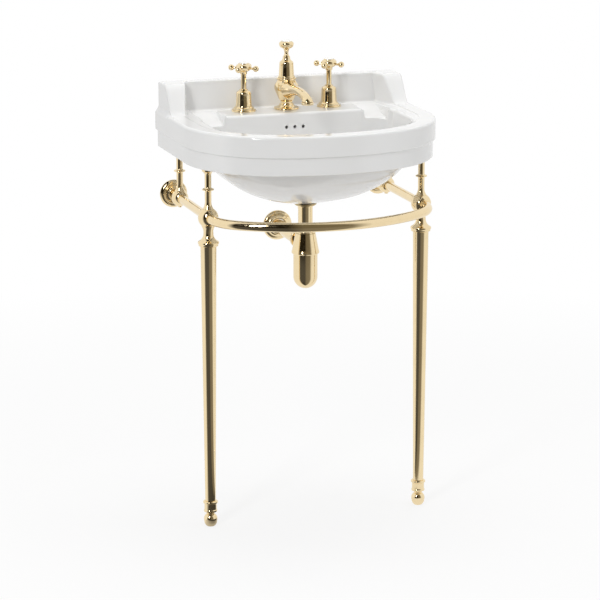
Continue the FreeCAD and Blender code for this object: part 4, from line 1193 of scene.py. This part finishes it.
    def build(self, wardrobe: Wardrobe) -> list[bpy.types.Object]:
        """Builds the basin.

        Args:
            wardrobe: gives it its finish.

        Returns:
            The basin.
        """
        rows = self.rows()
        closed = [row + [row[0]] for row in rows]
        closed.append(closed[0])
        skin = Bench.skin("basin_skin", closed)
        Bench.tidy(skin, 2e-6, 40.0)
        housing = self.housing()
        for place in self.overflow_holes:
            for piece in (skin, housing):
                self.drill(piece, place, self.overflow_radius, self.drill_length)
        for place in self.wall_holes:
            self.drill(skin, place, self.wall_radius, self.drill_length)
        basin = Bench.joined("glazed_basin", [skin, *self.bosses(), housing])
        Bench.shaded(basin, 40.0)
        wardrobe.dress(basin, Finish.CHINA)
        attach(basin, "stand")
        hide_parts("basin")
        return [basin]


# ---------------------------------------------------------------- turnings


class Facing(Enum):
    """Which way a turning's own axis points, as a turn about X."""

    UP = 0.0
    OUT_OF_WALL = math.pi / 2
    INTO_WALL = -math.pi / 2


@dataclass
class Turning:
    """A turned piece: an outline of (radius, height) in millimetres, spun about its axis.

    A third number in a point bends the run that follows it by that radius, to the left of the
    way it is drawn when it is positive. A limb is a second turning, set across the first at the
    given height and part of the same piece.
    """

    name: str
    outline: tuple[tuple[float, ...], ...]
    nodes: tuple[str, ...]
    places: tuple[Point, ...]
    finish: Finish = Finish.POLISHED_BRASS
    bodies: tuple[str, ...] = ("stand",)
    facing: Facing = Facing.UP
    soften: float = 0.45
    steps: int = 72
    limb: Optional["Turning"] = None
    limb_height: float = 0.0

    @staticmethod
    def arc(start: Sequence[float], end: Sequence[float], bend: float) -> list[Place]:
        """Points strictly inside a bent run.

        Args:
            start: where the run starts.
            end: where it ends.
            bend: its radius, positive to the left.

        Returns:
            Points about every eight degrees.
        """
        dx, dy = end[0] - start[0], end[1] - start[1]
        chord = math.hypot(dx, dy)
        rise = math.copysign(math.sqrt(max(bend * bend - chord * chord / 4, 0.0)), bend)
        centre = (
            (start[0] + end[0]) / 2 - dy / chord * rise,
            (start[1] + end[1]) / 2 + dx / chord * rise,
        )
        first = math.atan2(start[1] - centre[1], start[0] - centre[0])
        last = math.atan2(end[1] - centre[1], end[0] - centre[0])
        sweep = (last - first) % math.tau if bend > 0 else -((first - last) % math.tau)
        count = max(2, math.ceil(abs(sweep) / math.radians(8.0)))
        return [
            (
                centre[0] + abs(bend) * math.cos(first + sweep * i / count),
                centre[1] + abs(bend) * math.sin(first + sweep * i / count),
            )
            for i in range(1, count)
        ]

    def softened(self, points: list[Place], ring: bool) -> list[Place]:
        """Rounds the sharp corners of an outline, apart from those on the axis.

        Args:
            points: the outline.
            ring: True where the outline closes on itself clear of the axis.

        Returns:
            The outline with three points at each corner that was sharp.
        """
        done = []
        count = len(points)
        for index, here in enumerate(points):
            before, after = points[index - 1], points[(index + 1) % count]
            ends = index in (0, count - 1) and not ring
            back = Vector(before) - Vector(here)
            on = Vector(after) - Vector(here)
            if ends or here[0] < 0.01 or back.length < 0.05 or on.length < 0.05:
                done.append(here)
                continue
            if math.pi - back.angle(on) < math.radians(24.0):
                done.append(here)
                continue
            cut = min(self.soften, back.length * 0.42, on.length * 0.42)
            a = Vector(here) + back.normalized() * cut
            b = Vector(here) + on.normalized() * cut
            for share in (0.0, 0.25, 0.5, 0.75, 1.0):
                left, right = a.lerp(Vector(here), share), Vector(here).lerp(b, share)
                done.append(tuple(left.lerp(right, share)))
        return done

    def profile(self) -> list[Place]:
        """The whole outline as points, arcs divided and corners softened."""
        drawn: list[Place] = []
        closed_clear = self.outline[0][0] > 0.01
        count = len(self.outline)
        for index, point in enumerate(self.outline):
            drawn.append((point[0], point[1]))
            if len(point) == 3:
                drawn += self.arc(point, self.outline[(index + 1) % count], point[2])
        return self.softened(drawn, closed_clear)

    def spun(self, name: str) -> bpy.types.Object:
        """Spins the outline into a closed solid about its own axis, at the origin.

        Args:
            name: the mesh's name.

        Returns:
            The mesh.
        """
        points = self.profile()
        Bench.clear()
        bpy.ops.mesh.primitive_circle_add(vertices=len(points))
        piece = bpy.context.object
        piece.name = name
        piece.data.name = name
        places = [c for radius, height in points for c in (radius * MM, 0.0, height * MM)]
        piece.data.vertices.foreach_set("co", places)
        bpy.ops.object.mode_set(mode="EDIT")
        bpy.ops.mesh.select_all(action="SELECT")
        bpy.ops.mesh.spin(
            steps=self.steps, angle=math.tau, center=(0.0, 0.0, 0.0), axis=(0.0, 0.0, 1.0)
        )
        bpy.ops.object.mode_set(mode="OBJECT")
        Bench.tidy(piece, 4e-6, 30.0)
        return piece

    def build(self, wardrobe: Wardrobe) -> list[bpy.types.Object]:
        """Builds the turning at each of its places.

        Args:
            wardrobe: gives it its finish.

        Returns:
            One mesh for each place.
        """
        first = self.spun(f"{self.name}_turned")
        if self.limb:
            side = self.limb.spun(f"{self.name}_limb")
            side.rotation_euler = (self.limb.facing.value, 0.0, 0.0)
            side.location = (0.0, 0.0, self.limb_height * MM)
            Bench.settle(side)
            first = Bench.joined(first.name, [first, side])
        made = [first] + [Bench.twin(first) for _ in self.places[1:]]
        for index, (piece, node, place) in enumerate(zip(made, self.nodes, self.places)):
            piece.name = f"{node}_turned"
            piece.data.name = piece.name
            piece.rotation_euler = (self.facing.value, 0.0, 0.0)
            piece.location = Vector(place) * MM
            Bench.settle(piece)
            wardrobe.dress(piece, self.finish)
            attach(piece, self.bodies[index % len(self.bodies)])
            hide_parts(node)
        return made


POST = (
    (12.0, 715.732, -27.436), (7.2, 734.732), (7.2, 753.7, -3.568), (10.5, 756.7),
    (12.3, 757.4, 1.82), (12.3, 760.0), (10.5, 760.7, -3.568), (7.2, 763.7),
    (7.2, 788.7, -8.864), (11.2, 797.7), (12.8, 798.7), (12.8, 805.7), (0.0, 805.7),
)
LEGS = ((-245.0, -48.0, 0.0), (245.0, -48.0, 0.0))
REARS = ((-245.0, 176.0, 0.0), (245.0, 176.0, 0.0))
TAPS = ((-100.0, 160.0, 888.0), (100.0, 160.0, 888.0))
HANDLES = ((-100.0, 160.0, 984.0), (100.0, 160.0, 984.0))
WASTE = (0.0, 25.0, 0.0)
SPOUT = (0.0, 160.0, 888.0)
BONNET = (0.0, 160.0, 958.0)


def pair(stem: str) -> tuple[str, str]:
    """Names of the left and right node of a kind."""
    return f"{stem}_left", f"{stem}_right"


WALL_STUB = Turning(
    "wall_stub", ((0.0, 10.0), (10.0, 10.0), (10.0, 46.7), (0.0, 46.7)), (), (),
    facing=Facing.INTO_WALL,
)
PLUG_EYE = Turning(
    "plug_eye", ((3.9, -5.0), (6.0, -5.0), (6.0, 5.0), (3.9, 5.0)), (), (),
    facing=Facing.OUT_OF_WALL,
)


@dataclass
class WashStand:
    """Turned metalwork of the two legs, the four posts and the wall ends, and the bow rail."""

    rail_radius: float = 10.3
    rail_height: float = 697.0
    rail_half: float = 245.0
    rail_start: float = -62.6
    rail_spring: float = -70.6
    rail_depth: float = 149.02
    rail_corner: float = 100.0
    turnings: tuple[Turning, ...] = (
        Turning(
            "foot",
            (
                (0.0, 0.0), (8.7, 0.0, 14.5), (14.5, 11.6, 14.5), (8.7, 28.0, -6.16), (14.8, 33.5),
                (14.8, 37.0), (13.7, 38.5), (13.7, 52.0), (16.3, 53.5), (16.3, 56.5),
                (14.8, 58.0), (9.15, 58.0), (9.15, 80.0), (0.0, 80.0),
            ),
            pair("foot"), LEGS,
        ),
        Turning(
            "front_hub",
            (
                (0.0, 618.0), (14.0, 618.0), (14.0, 634.0), (19.1, 634.0), (21.6, 635.5),
                (21.6, 638.0), (22.6, 640.0, 3.599), (21.4, 645.0), (18.1, 647.0, -19.345),
                (10.8, 663.0, -21.61), (14.2, 677.0), (15.2, 680.275, 22.3),
                (22.3, 697.0, 22.3), (12.0, 715.732), (0.0, 715.732),
            ),
            pair("front_hub"), LEGS, steps=96,
        ),
        Turning(
            "front_post", ((0.0, 715.732), *POST), pair("front_post"), LEGS
        ),
        Turning(
            "rear_post",
            ((0.0, 711.44), (12.35, 711.44, -27.56), (7.2, 730.44), *POST[2:]),
            pair("rear_post"), REARS,
        ),
        Turning(
            "rear_hub",
            (
                (0.0, 675.0), (4.0, 676.0), (5.2, 678.76, 19.0), (19.0, 697.0, 19.0),
                (12.35, 711.44), (0.0, 711.44),
            ),
            pair("rear_hub"), REARS, limb=WALL_STUB, limb_height=697.0,
        ),
        Turning(
            "wall_flange",
            (
                (4.2, 0.0), (31.5, 0.0), (31.5, 2.45), (29.5, 4.2, 9.047), (22.5, 7.0),
                (21.5, 8.2), (20.0, 8.2), (19.0, 6.4), (14.0, 7.8), (14.0, 11.5),
                (13.0, 12.5), (10.05, 12.5), (10.05, 7.0), (4.2, 7.0),
            ),
            pair("wall_flange"), ((-245.0, 230.0, 697.0), (245.0, 230.0, 697.0)),
            facing=Facing.OUT_OF_WALL,
        ),
    )

    def bow_rail(self, wardrobe: Wardrobe) -> bpy.types.Object:
        """Bends the bow rail through its three arcs.

        Args:
            wardrobe: gives it its finish.

        Returns:
            The rail.
        """
        bow = Bow(self.rail_half, self.rail_spring, self.rail_depth, self.rail_corner)
        line = [(-self.rail_half, self.rail_start)]
        line += [bow.point(i / 96) for i in range(97)]
        line.append((self.rail_half, self.rail_start))
        rows = []
        for index, (x, y) in enumerate(line):
            before = line[max(index - 1, 0)]
            after = line[min(index + 1, len(line) - 1)]
            run = math.hypot(after[0] - before[0], after[1] - before[1])
            out = ((after[1] - before[1]) / run, -(after[0] - before[0]) / run)
            rows.append(self.bar_ring(x, y, self.rail_height, out, self.rail_radius))
        middle = [(line[0][0], line[0][1], self.rail_height)] * 41
        far = [(line[-1][0], line[-1][1], self.rail_height)] * 41
        rail = Bench.skin("bow_rail_bent", [middle, *rows, far])
        Bench.tidy(rail, 1e-6, 40.0)
        wardrobe.dress(rail, Finish.POLISHED_BRASS)
        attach(rail, "stand")
        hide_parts("bow_rail")
        return rail

    @staticmethod
    def bar_ring(
        x: float, y: float, z: float, out: tuple[float, float], radius: float
    ) -> list[Point]:
        """Ring of a level round bar, square to the way it runs.

        Args:
            x: its middle across.
            y: its middle along.
            z: its height.
            out: level direction square to the bar.
            radius: the bar's radius.

        Returns:
            The ring.
        """
        ring = []
        for step in range(41):
            angle = math.tau * step / 40
            off = radius * math.cos(angle)
            ring.append((x + out[0] * off, y + out[1] * off, z + radius * math.sin(angle)))
        return ring

    def build(self, wardrobe: Wardrobe) -> list[bpy.types.Object]:
        """Builds the stand's turnings and the bow rail."""
        made = []
        for turning in self.turnings:
            made += turning.build(wardrobe)
        made.append(self.bow_rail(wardrobe))
        return made


@dataclass
class CrossHandle:
    """Cross handle: a cupped hub with four ball-ended arms."""

    turn: float = -40.0
    arm: tuple[tuple[float, ...], ...] = (
        (0.0, 36.2, -6.7), (6.7, 29.5, -6.7), (2.95, 23.47), (2.95, 21.87), (2.7, 21.07),
        (2.7, 8.6), (0.0, 8.6),
    )
    hub: Turning = field(
        default_factory=lambda: Turning(
            "handle",
            (
                (0.0, -13.0), (7.9, -13.0), (7.9, -10.5, -4.376), (10.664, -6.5, 10.331),
                (17.2, 1.5, 6.24), (13.76, 8.5), (11.9, 9.4), (11.5, 11.4), (10.3, 11.4),
                (10.3, 8.0), (0.0, 8.0),
            ),
            ("hot_handle", "cold_handle"), HANDLES,
            bodies=("hot_handle_set", "cold_handle_set"),
        )
    )

    def arms(self) -> list[bpy.types.Object]:
        """Spins one arm and sets four of them round the hub."""
        turning = Turning("arm", tuple(reversed_outline(self.arm)), (), (), soften=0.25, steps=40)
        first = turning.spun("handle_arm")
        made = []
        for quarter in range(4):
            arm = Bench.twin(first)
            arm.rotation_euler = (0.0, math.pi / 2, math.radians(self.turn) + quarter * math.pi / 2)
            Bench.settle(arm)
            made.append(arm)
        bpy.data.objects.remove(first)
        return made

    def build(self, wardrobe: Wardrobe) -> list[bpy.types.Object]:
        """Builds the hot and the cold handle."""
        made = []
        for node, body, place in zip(self.hub.nodes, self.hub.bodies, self.hub.places):
            hub = self.hub.spun(f"{node}_hub")
            handle = Bench.joined(f"{node}_turned", [hub, *self.arms()])
            Bench.shaded(handle, 30.0)
            handle.location = Vector(place) * MM
            Bench.settle(handle)
            wardrobe.dress(handle, Finish.POLISHED_BRASS)
            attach(handle, body)
            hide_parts(node)
            made.append(handle)
        return made


def reversed_outline(outline: Sequence[tuple[float, ...]]) -> list[tuple[float, ...]]:
    """Outline drawn the other way, with each bend kept on the run it belongs to."""
    turned = []
    count = len(outline)
    for index in range(count - 1, -1, -1):
        point = outline[index]
        into = outline[index - 1]
        bend = (-into[2],) if len(into) == 3 and index > 0 else ()
        turned.append((point[0], point[1], *bend))
    return turned


@dataclass
class Mixer:
    """Deck mixer: two bells with cross handles, the pear spout, its bonnet and the lift knob."""

    arm_steps: int = 8
    arm_sides: int = 48
    nose: float = 12.8
    reach: float = 150.0
    tall: float = 70.0
    arm: tuple[tuple[float, float, float, float], ...] = (
        (0.04, 0.66, 1.72, 0.0), (0.17, 0.675, 1.36, 3.0), (0.31, 0.7, 1.0, 6.0),
        (0.44, 0.728, 0.82, 4.0), (0.55, 0.742, 0.79, 0.0), (0.66, 0.743, 0.78, -6.0),
        (0.75, 0.727, 0.785, -15.0), (0.83, 0.7, 0.8, -26.0), (0.9, 0.663, 0.84, -40.0),
        (0.95, 0.628, 0.89, -55.0), (0.985, 0.59, 0.95, -73.0), (1.0, 0.56, 1.0, -90.0),
    )
    turnings: tuple[Turning, ...] = (
        Turning(
            "bell",
            (
                (17.6, 0.0), (27.4, 0.0), (27.4, 2.2, 2.24), (25.2, 4.4), (22.8, 4.8),
                (22.8, 6.8, 1.697), (21.2, 8.4, -6.353), (18.2, 14.0), (17.6, 16.0),
                (16.6, 39.0, 6.583), (11.6, 45.8), (9.5, 46.6), (9.5, 49.0), (6.15, 49.0),
                (6.15, 44.0), (13.6, 39.0), (15.2, 15.0), (15.6, 10.0),
            ),
            ("hot_bell", "cold_bell"), TAPS, steps=88,
        ),
        Turning(
            "index",
            ((0.0, 8.0), (10.0, 8.0), (10.0, 11.5, 18.167), (0.0, 14.5)),
            ("hot_index", "cold_index"), HANDLES, Finish.INDEX_CHINA,
            ("hot_handle_set", "cold_handle_set"), soften=0.7,
        ),
        Turning(
            "nozzle",
            (
                (0.0, 35.9), (10.8, 35.9), (10.8, 33.3), (11.6, 32.5), (13.0, 32.5),
                (13.4, 33.3), (13.4, 38.3), (13.0, 38.9), (0.0, 38.9),
            ),
            ("spout_nozzle",), ((0.0, 10.0, 888.0),),
        ),
        Turning(
            "bonnet",
            (
                (2.55, 0.0), (18.9, 0.0), (18.9, 2.5, 2.049), (17.3, 4.5), (15.7, 31.0, 7.053),
                (10.8, 38.6), (9.3, 41.0), (8.7, 42.4), (8.4, 43.6), (8.4, 46.4, 2.049),
                (6.4, 48.0), (2.55, 48.0),
            ),
            ("spout_bonnet",), (BONNET,),
        ),
        Turning(
            "knob",
            (
                (0.0, 48.3), (6.6, 48.3), (6.6, 49.7), (5.3, 51.3, -13.6), (5.3, 59.8, -8.273),
                (9.8, 66.2, 7.849), (16.0, 73.6, 5.237), (13.1, 80.8), (12.0, 81.8),
                (11.3, 81.8), (11.3, 80.3), (0.0, 80.3),
            ),
            ("lift_knob",), (BONNET,), bodies=("lift_set",),
        ),
        Turning(
            "knob_index",
            ((0.0, 80.3), (11.0, 80.3), (11.0, 82.3, 21.667), (0.0, 85.3)),
            ("knob_index",), (BONNET,), Finish.INDEX_CHINA, ("lift_set",), soften=0.7,
        ),
    )
    pear: Turning = field(
        default_factory=lambda: Turning(
            "spout",
            (
                (3.0, -60.0), (16.2, -60.0), (16.2, 0.0), (28.4, 0.0), (28.4, 2.2, 2.036),
                (26.4, 4.2, -11.16), (15.72, 10.5), (15.72, 12.0), (13.886, 13.0, -7.653),
                (16.768, 21.0), (25.414, 40.6, 15.137), (24.628, 57.4), (19.912, 65.4),
                (21.222, 66.6, 1.87), (21.222, 70.0), (3.0, 70.0),
            ),
            ("spout_body",), (SPOUT,), steps=96,
        )
    )

    def arm_skin(self) -> bpy.types.Object:
        """Sweeps the spout's arm smoothly through its nodding rings.

        Returns:
            The arm.
        """
        rows: list[list[Point]] = []
        rings = self.arm
        for index in range(len(rings) - 1):
            a = rings[max(index - 1, 0)]
            b, c = rings[index], rings[index + 1]
            d = rings[min(index + 2, len(rings) - 1)]
            last = index == len(rings) - 2
            for step in range(self.arm_steps + (1 if last else 0)):
                share = step / self.arm_steps
                rows.append(self.arm_ring(*(eased(*near, share) for near in zip(a, b, c, d))))
        ends = []
        for forward, height in ((rings[0][0], rings[0][1]), (rings[-1][0], rings[-1][1])):
            spot = (0.0, SPOUT[1] - self.reach * forward, SPOUT[2] + self.tall * height)
            ends.append([spot] * (self.arm_sides + 1))
        skin = Bench.skin("spout_arm", [ends[0], *rows, ends[1]])
        Bench.tidy(skin, 1e-6, 30.0)
        return skin

    def arm_ring(self, forward: float, height: float, wide: float, nod: float) -> list[Point]:
        """One ring of the arm, nodding from forwards to straight down.

        Args:
            forward: how far out it is, as a share of the reach.
            height: how high, as a share of the spout's height.
            wide: its width as a share of the nose.
            nod: how far it leans, in degrees.

        Returns:
            The ring.
        """
        tilt = math.radians(nod)
        along = SPOUT[1] - self.reach * forward
        up = SPOUT[2] + self.tall * height
        ring = []
        for step in range(self.arm_sides + 1):
            angle = math.tau * step / self.arm_sides
            side = self.nose * wide * math.cos(angle)
            rise = self.nose * wide * math.sin(angle)
            ring.append((side, along + rise * math.sin(tilt), up + rise * math.cos(tilt)))
        return ring

    @staticmethod
    def web(spout: bpy.types.Object) -> None:
        """Evens out the crease between pear and arm, and leaves the turned rings crisp.

        Args:
            spout: the joined casting.
        """
        Bench.shaped(spout, "REMESH", mode="VOXEL", voxel_size=0.75 * MM)
        group = spout.vertex_groups.new(name="web")
        for vertex in spout.data.vertices:
            along, up = vertex.co.y / MM, vertex.co.z / MM
            weight = smooth_step(160.0 - along, 2.0, 14.0) * (
                smooth_step(up, 903.5, 907.0) - smooth_step(up, 951.0, 953.0)
            )
            weight *= 1.0 if along < 136.0 or abs(up - 932.0) < 20.0 else 0.4
            if weight > 0.001:
                group.add([vertex.index], weight, "REPLACE")
        Bench.shaped(spout, "SMOOTH", factor=0.5, iterations=26, vertex_group="web")

    def spout(self, wardrobe: Wardrobe) -> bpy.types.Object:
        """Joins the pear and the arm with a soft web where they meet.

        Args:
            wardrobe: gives it its finish.

        Returns:
            The spout.
        """
        spout = self.pear.spun("spout_cast")
        spout.location = Vector(SPOUT) * MM
        Bench.settle(spout)
        arm = self.arm_skin()
        Bench.shaped(spout, "BOOLEAN", operation="UNION", solver="EXACT", object=arm)
        bpy.data.objects.remove(arm)
        self.web(spout)
        Bench.shaded(spout, 38.0)
        wardrobe.dress(spout, Finish.POLISHED_BRASS)
        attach(spout, "stand")
        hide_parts("spout_body")
        return spout

    def build(self, wardrobe: Wardrobe) -> list[bpy.types.Object]:
        """Builds the mixer's finer pieces."""
        made = [self.spout(wardrobe)]
        for turning in self.turnings:
            made += turning.build(wardrobe)
        made += CrossHandle().build(wardrobe)
        return made


@dataclass
class WasteAndTrap:
    """Waste flange and plug in the bowl, and the bottle trap with its pipe to the wall."""

    turnings: tuple[Turning, ...] = (
        Turning(
            "waste_flange",
            (
                (14.6, 696.0), (21.0, 696.0), (21.0, 716.0), (30.5, 716.0), (30.5, 717.2, 5.331),
                (25.0, 719.4), (19.0, 718.2), (15.8, 714.0), (14.6, 712.0),
            ),
            ("waste_flange",), (WASTE,),
        ),
        Turning(
            "waste_plug",
            (
                (0.0, 688.812), (3.5, 688.812), (3.5, 718.0), (13.1, 719.5), (13.1, 724.4),
                (21.6, 725.4), (21.6, 726.2, 84.714), (0.0, 729.0),
            ),
            ("waste_plug",), (WASTE,), bodies=("plug",), limb=PLUG_EYE, limb_height=682.812,
        ),
        Turning(
            "tailpiece",
            (
                (14.6, 610.0), (16.2, 610.0), (16.2, 692.5), (21.0, 694.0), (21.0, 696.0),
                (14.6, 696.0),
            ),
            ("tailpiece",), (WASTE,),
        ),
        Turning(
            "trap_inlet_nut",
            (
                (16.5, 632.3), (21.5, 632.3), (21.5, 635.5), (20.3, 636.5), (20.3, 645.0),
                (18.9, 648.0), (16.5, 648.0),
            ),
            ("trap_inlet_nut",), (WASTE,),
        ),
        Turning(
            "trap_cup",
            (
                (0.0, 506.0, 27.0), (27.0, 533.0), (27.0, 585.7), (24.8, 585.7),
                (24.8, 533.0, -24.8), (0.0, 508.2),
            ),
            ("trap_cup",), (WASTE,), steps=88,
        ),
        Turning(
            "outlet_nut",
            (
                (14.0, 0.0), (20.4, 0.0), (20.4, 4.0), (19.0, 5.0), (20.4, 6.0), (20.4, 10.0),
                (19.0, 11.0), (19.6, 12.0), (19.0, 16.0), (17.0, 18.0), (15.6, 18.0),
                (15.6, 2.0), (14.0, 2.0),
            ),
            ("outlet_nut",), ((0.0, 64.3, 608.0),), facing=Facing.INTO_WALL,
        ),
        Turning(
            "outlet_pipe",
            ((13.6, 0.0), (15.4, 0.0), (15.4, 163.4), (13.6, 163.4)),
            ("outlet_pipe",), ((0.0, 230.0, 608.0),), facing=Facing.OUT_OF_WALL,
        ),
        Turning(
            "wall_escutcheon",
            (
                (16.3, 0.0), (34.2, 0.0), (34.2, 2.0, 11.321), (26.2, 7.0, 11.805),
                (20.0, 11.0), (19.0, 13.0), (16.3, 13.0),
            ),
            ("wall_escutcheon",), ((0.0, 230.0, 608.0),), facing=Facing.OUT_OF_WALL,
        ),
    )

    def build(self, wardrobe: Wardrobe) -> list[bpy.types.Object]:
        """Builds the waste and the trap."""
        made = []
        for turning in self.turnings:
            made += turning.build(wardrobe)
        return made


# ---------------------------------------------------------------- room


@dataclass
class Room:
    """Plain pale floor and wallless backdrop, soft lights and the camera.

    The room is white all round apart from the unlit end of the studio behind the camera, which
    metal shows as the dark band down its middle.
    """

    floor_tone: tuple[float, float, float] = (0.93, 0.93, 0.93)
    floor_reach: float = 9.0
    floor_veil: float = 0.8
    floor_studio: float = 0.92
    fade: tuple[float, float] = (0.7, 2.2)
    camera_place: Point = (-1.85404, -5.55582, 1.91179)
    camera_yaw: float = 0.3187029
    camera_pitch: float = 0.2390879
    camera_lens: float = 163.0864
    lamp_aim: Point = (0.0, 0.0, 0.75)
    world_strength: float = 0.5
    warmth: Point = (1.0, 1.07, 1.25)
    studio: tuple[tuple[float, float], ...] = (
        (-180.0, 0.96), (-66.0, 0.98), (-50.0, 0.015), (-4.0, 0.012), (8.0, 0.16), (44.0, 0.2),
        (60.0, 0.94), (180.0, 0.96),
    )

    def floor(self) -> None:
        """Lays a floor that looks white and keeps the sink's shadow."""
        bpy.ops.object.select_all(action="DESELECT")
        bpy.ops.mesh.primitive_plane_add(size=self.floor_reach * 2)
        ground = bpy.context.object
        ground.name = "floor"
        shader = Shader("pale_floor")
        shader.fix(Roughness=0.9, Specular_IOR_Level=0.0)
        grain = shader.noise(3.0, 2.0)
        tone = self.floor_tone
        shader.feed("Base Color", shader.tinted(grain, tone, tuple(c * 0.985 for c in tone)))
        self.veil(shader)
        ground.data.materials.append(shader.material)
        ground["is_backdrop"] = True

    def veil(self, shader: Shader) -> None:
        """Lays white over most of the floor's own light, and the studio where metal shows it.

        Args:
            shader: the floor's shader.
        """
        lit = shader.surface.outputs[0]
        rays = shader.node("ShaderNodeLightPath").outputs
        white = shader.node("ShaderNodeEmission", None, {"Strength": 1.0}).outputs[0]
        seen = Signal(shader, rays["Is Camera Ray"])
        near = shader.mixed(seen * self.floor_veil, lit, white)
        far = shader.mixed(seen, lit, white)
        away = shader.node("ShaderNodeVectorMath", {"operation": "LENGTH"}, {0: shader.place})
        start, end = self.fade
        fade = shader.node(
            "ShaderNodeMapRange",
            None,
            {"Value": away.outputs["Value"], "From Min": start, "From Max": end},
        )
        plain = shader.mixed(fade.outputs["Result"], near, far)
        level = self.studio_level(shader, "Object")
        studio = shader.node("ShaderNodeEmission", None, {"Strength": 1.0, "Color": level})
        mirrored = Signal(shader, rays["Is Glossy Ray"]) * self.floor_studio
        last = shader.mixed(mirrored, plain, studio.outputs[0])
        shader.join(last, shader.output.inputs["Surface"])

    def studio_level(self, nodes: Nodes, kind: str) -> bpy.types.NodeSocket:
        """How bright the studio is in each direction: pale all round, unlit behind the camera.

        Args:
            nodes: where the nodes go.
            kind: Generated for the world, Object for the floor.

        Returns:
            The level as a colour.
        """
        place = nodes.node("ShaderNodeTexCoord").outputs[kind]
        turned = nodes.node(
            "ShaderNodeVectorRotate",
            {"rotation_type": "Z_AXIS"},
            {"Vector": place, "Angle": self.camera_yaw},
        )
        split = nodes.node("ShaderNodeSeparateXYZ", None, {0: turned.outputs[0]}).outputs
        front = Signal(nodes, split["Y"]) * -1.0
        share = Signal(nodes, split["X"]).bearing(front) * (1.0 / math.tau) + 0.5
        stops = [
            (degrees / 360.0 + 0.5, tuple(level**power for power in self.warmth))
            for degrees, level in self.studio
        ]
        return nodes.node("ShaderNodeValToRGB", {"stops": stops}, {0: share}).outputs["Color"]

    def world(self) -> None:
        """Lights the scene evenly, with a white background that metal reflects too."""
        world = bpy.data.worlds.new("studio")
        bpy.context.scene.world = world
        world.use_nodes = True
        nodes = Nodes(world.node_tree)
        rays = nodes.node("ShaderNodeLightPath").outputs
        white = (1.0, 1.0, 1.0, 1.0)
        lit, mirrored, shown = (
            nodes.node("ShaderNodeBackground", None, {"Color": tone, "Strength": strength})
            for tone, strength in (
                (white, self.world_strength),
                (self.studio_level(nodes, "Generated"), 1.0),
                (white, 1.0),
            )
        )
        either = Signal(nodes, rays["Is Glossy Ray"]).greater(rays["Is Transmission Ray"])
        unseen = nodes.mixed(either, lit.outputs[0], mirrored.outputs[0])
        last = nodes.mixed(rays["Is Camera Ray"], unseen, shown.outputs[0])
        nodes.join(last, nodes.node("ShaderNodeOutputWorld").inputs["Surface"])

    def lamp(
        self, name: str, place: Point, reach: tuple[float, float], power: float, glints: bool
    ) -> None:
        """Hangs one soft lamp that faces the basin.

        Args:
            name: the lamp's name.
            place: where it hangs.
            reach: its width and height in metres.
            power: its power in watts.
            glints: True where metal and glaze show the lamp itself.
        """
        data = bpy.data.lights.new(name, "AREA")
        data.shape = "RECTANGLE"
        data.size, data.size_y = reach
        data.energy = power
        lamp = bpy.data.objects.new(name, data)
        lamp.visible_glossy = glints
        bpy.context.scene.collection.objects.link(lamp)
        lamp.location = place
        facing = Vector(self.lamp_aim) - Vector(place)
        lamp.rotation_euler = facing.to_track_quat("-Z", "Y").to_euler()

    def camera(self) -> None:
        """Sets the camera at the reference's angle and distance."""
        data = bpy.data.cameras.new("view")
        data.sensor_width = 36.0
        data.lens = self.camera_lens
        eye = bpy.data.objects.new("view", data)
        bpy.context.scene.collection.objects.link(eye)
        eye.location = self.camera_place
        eye.rotation_euler = Euler(
            (math.pi / 2 - self.camera_pitch, 0.0, -self.camera_yaw), "XYZ"
        )
        bpy.context.scene.camera = eye

    def build(self) -> None:
        """Makes the whole room."""
        scene = bpy.context.scene
        scene.view_settings.view_transform = "Standard"
        self.floor()
        self.world()
        self.lamp("window", (-2.4, -2.4, 2.6), (0.6, 1.8), 45.0, True)
        self.lamp("fill", (2.6, -1.6, 1.5), (1.6, 2.0), 15.0, False)
        self.lamp("above", (0.2, 0.4, 3.2), (1.6, 1.2), 31.0, False)
        self.camera()


def note_size(stage: str, noted: dict[str, object]) -> None:
    """Keeps the model's box under a name.

    Args:
        stage: the name, such as cad or visual.
        noted: where it is kept.
    """
    low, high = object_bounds()
    noted[stage] = [[round(v, 5) for v in low], [round(v, 5) for v in high]]


def main() -> None:
    """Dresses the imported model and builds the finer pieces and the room, in order."""
    logging.basicConfig(level=logging.INFO, format="%(name)s: %(message)s")
    noted: dict[str, object] = {}
    note_size("cad", noted)
    wardrobe = Wardrobe()
    wardrobe.dress_frame()
    for part in (Basin(), WashStand(), Mixer(), WasteAndTrap()):
        for made in part.build(wardrobe):
            LOG.info("%s: %d faces", made.name, len(made.data.polygons))
    Room().build()
    note_size("visual", noted)


if __name__ == "__main__":
    main()
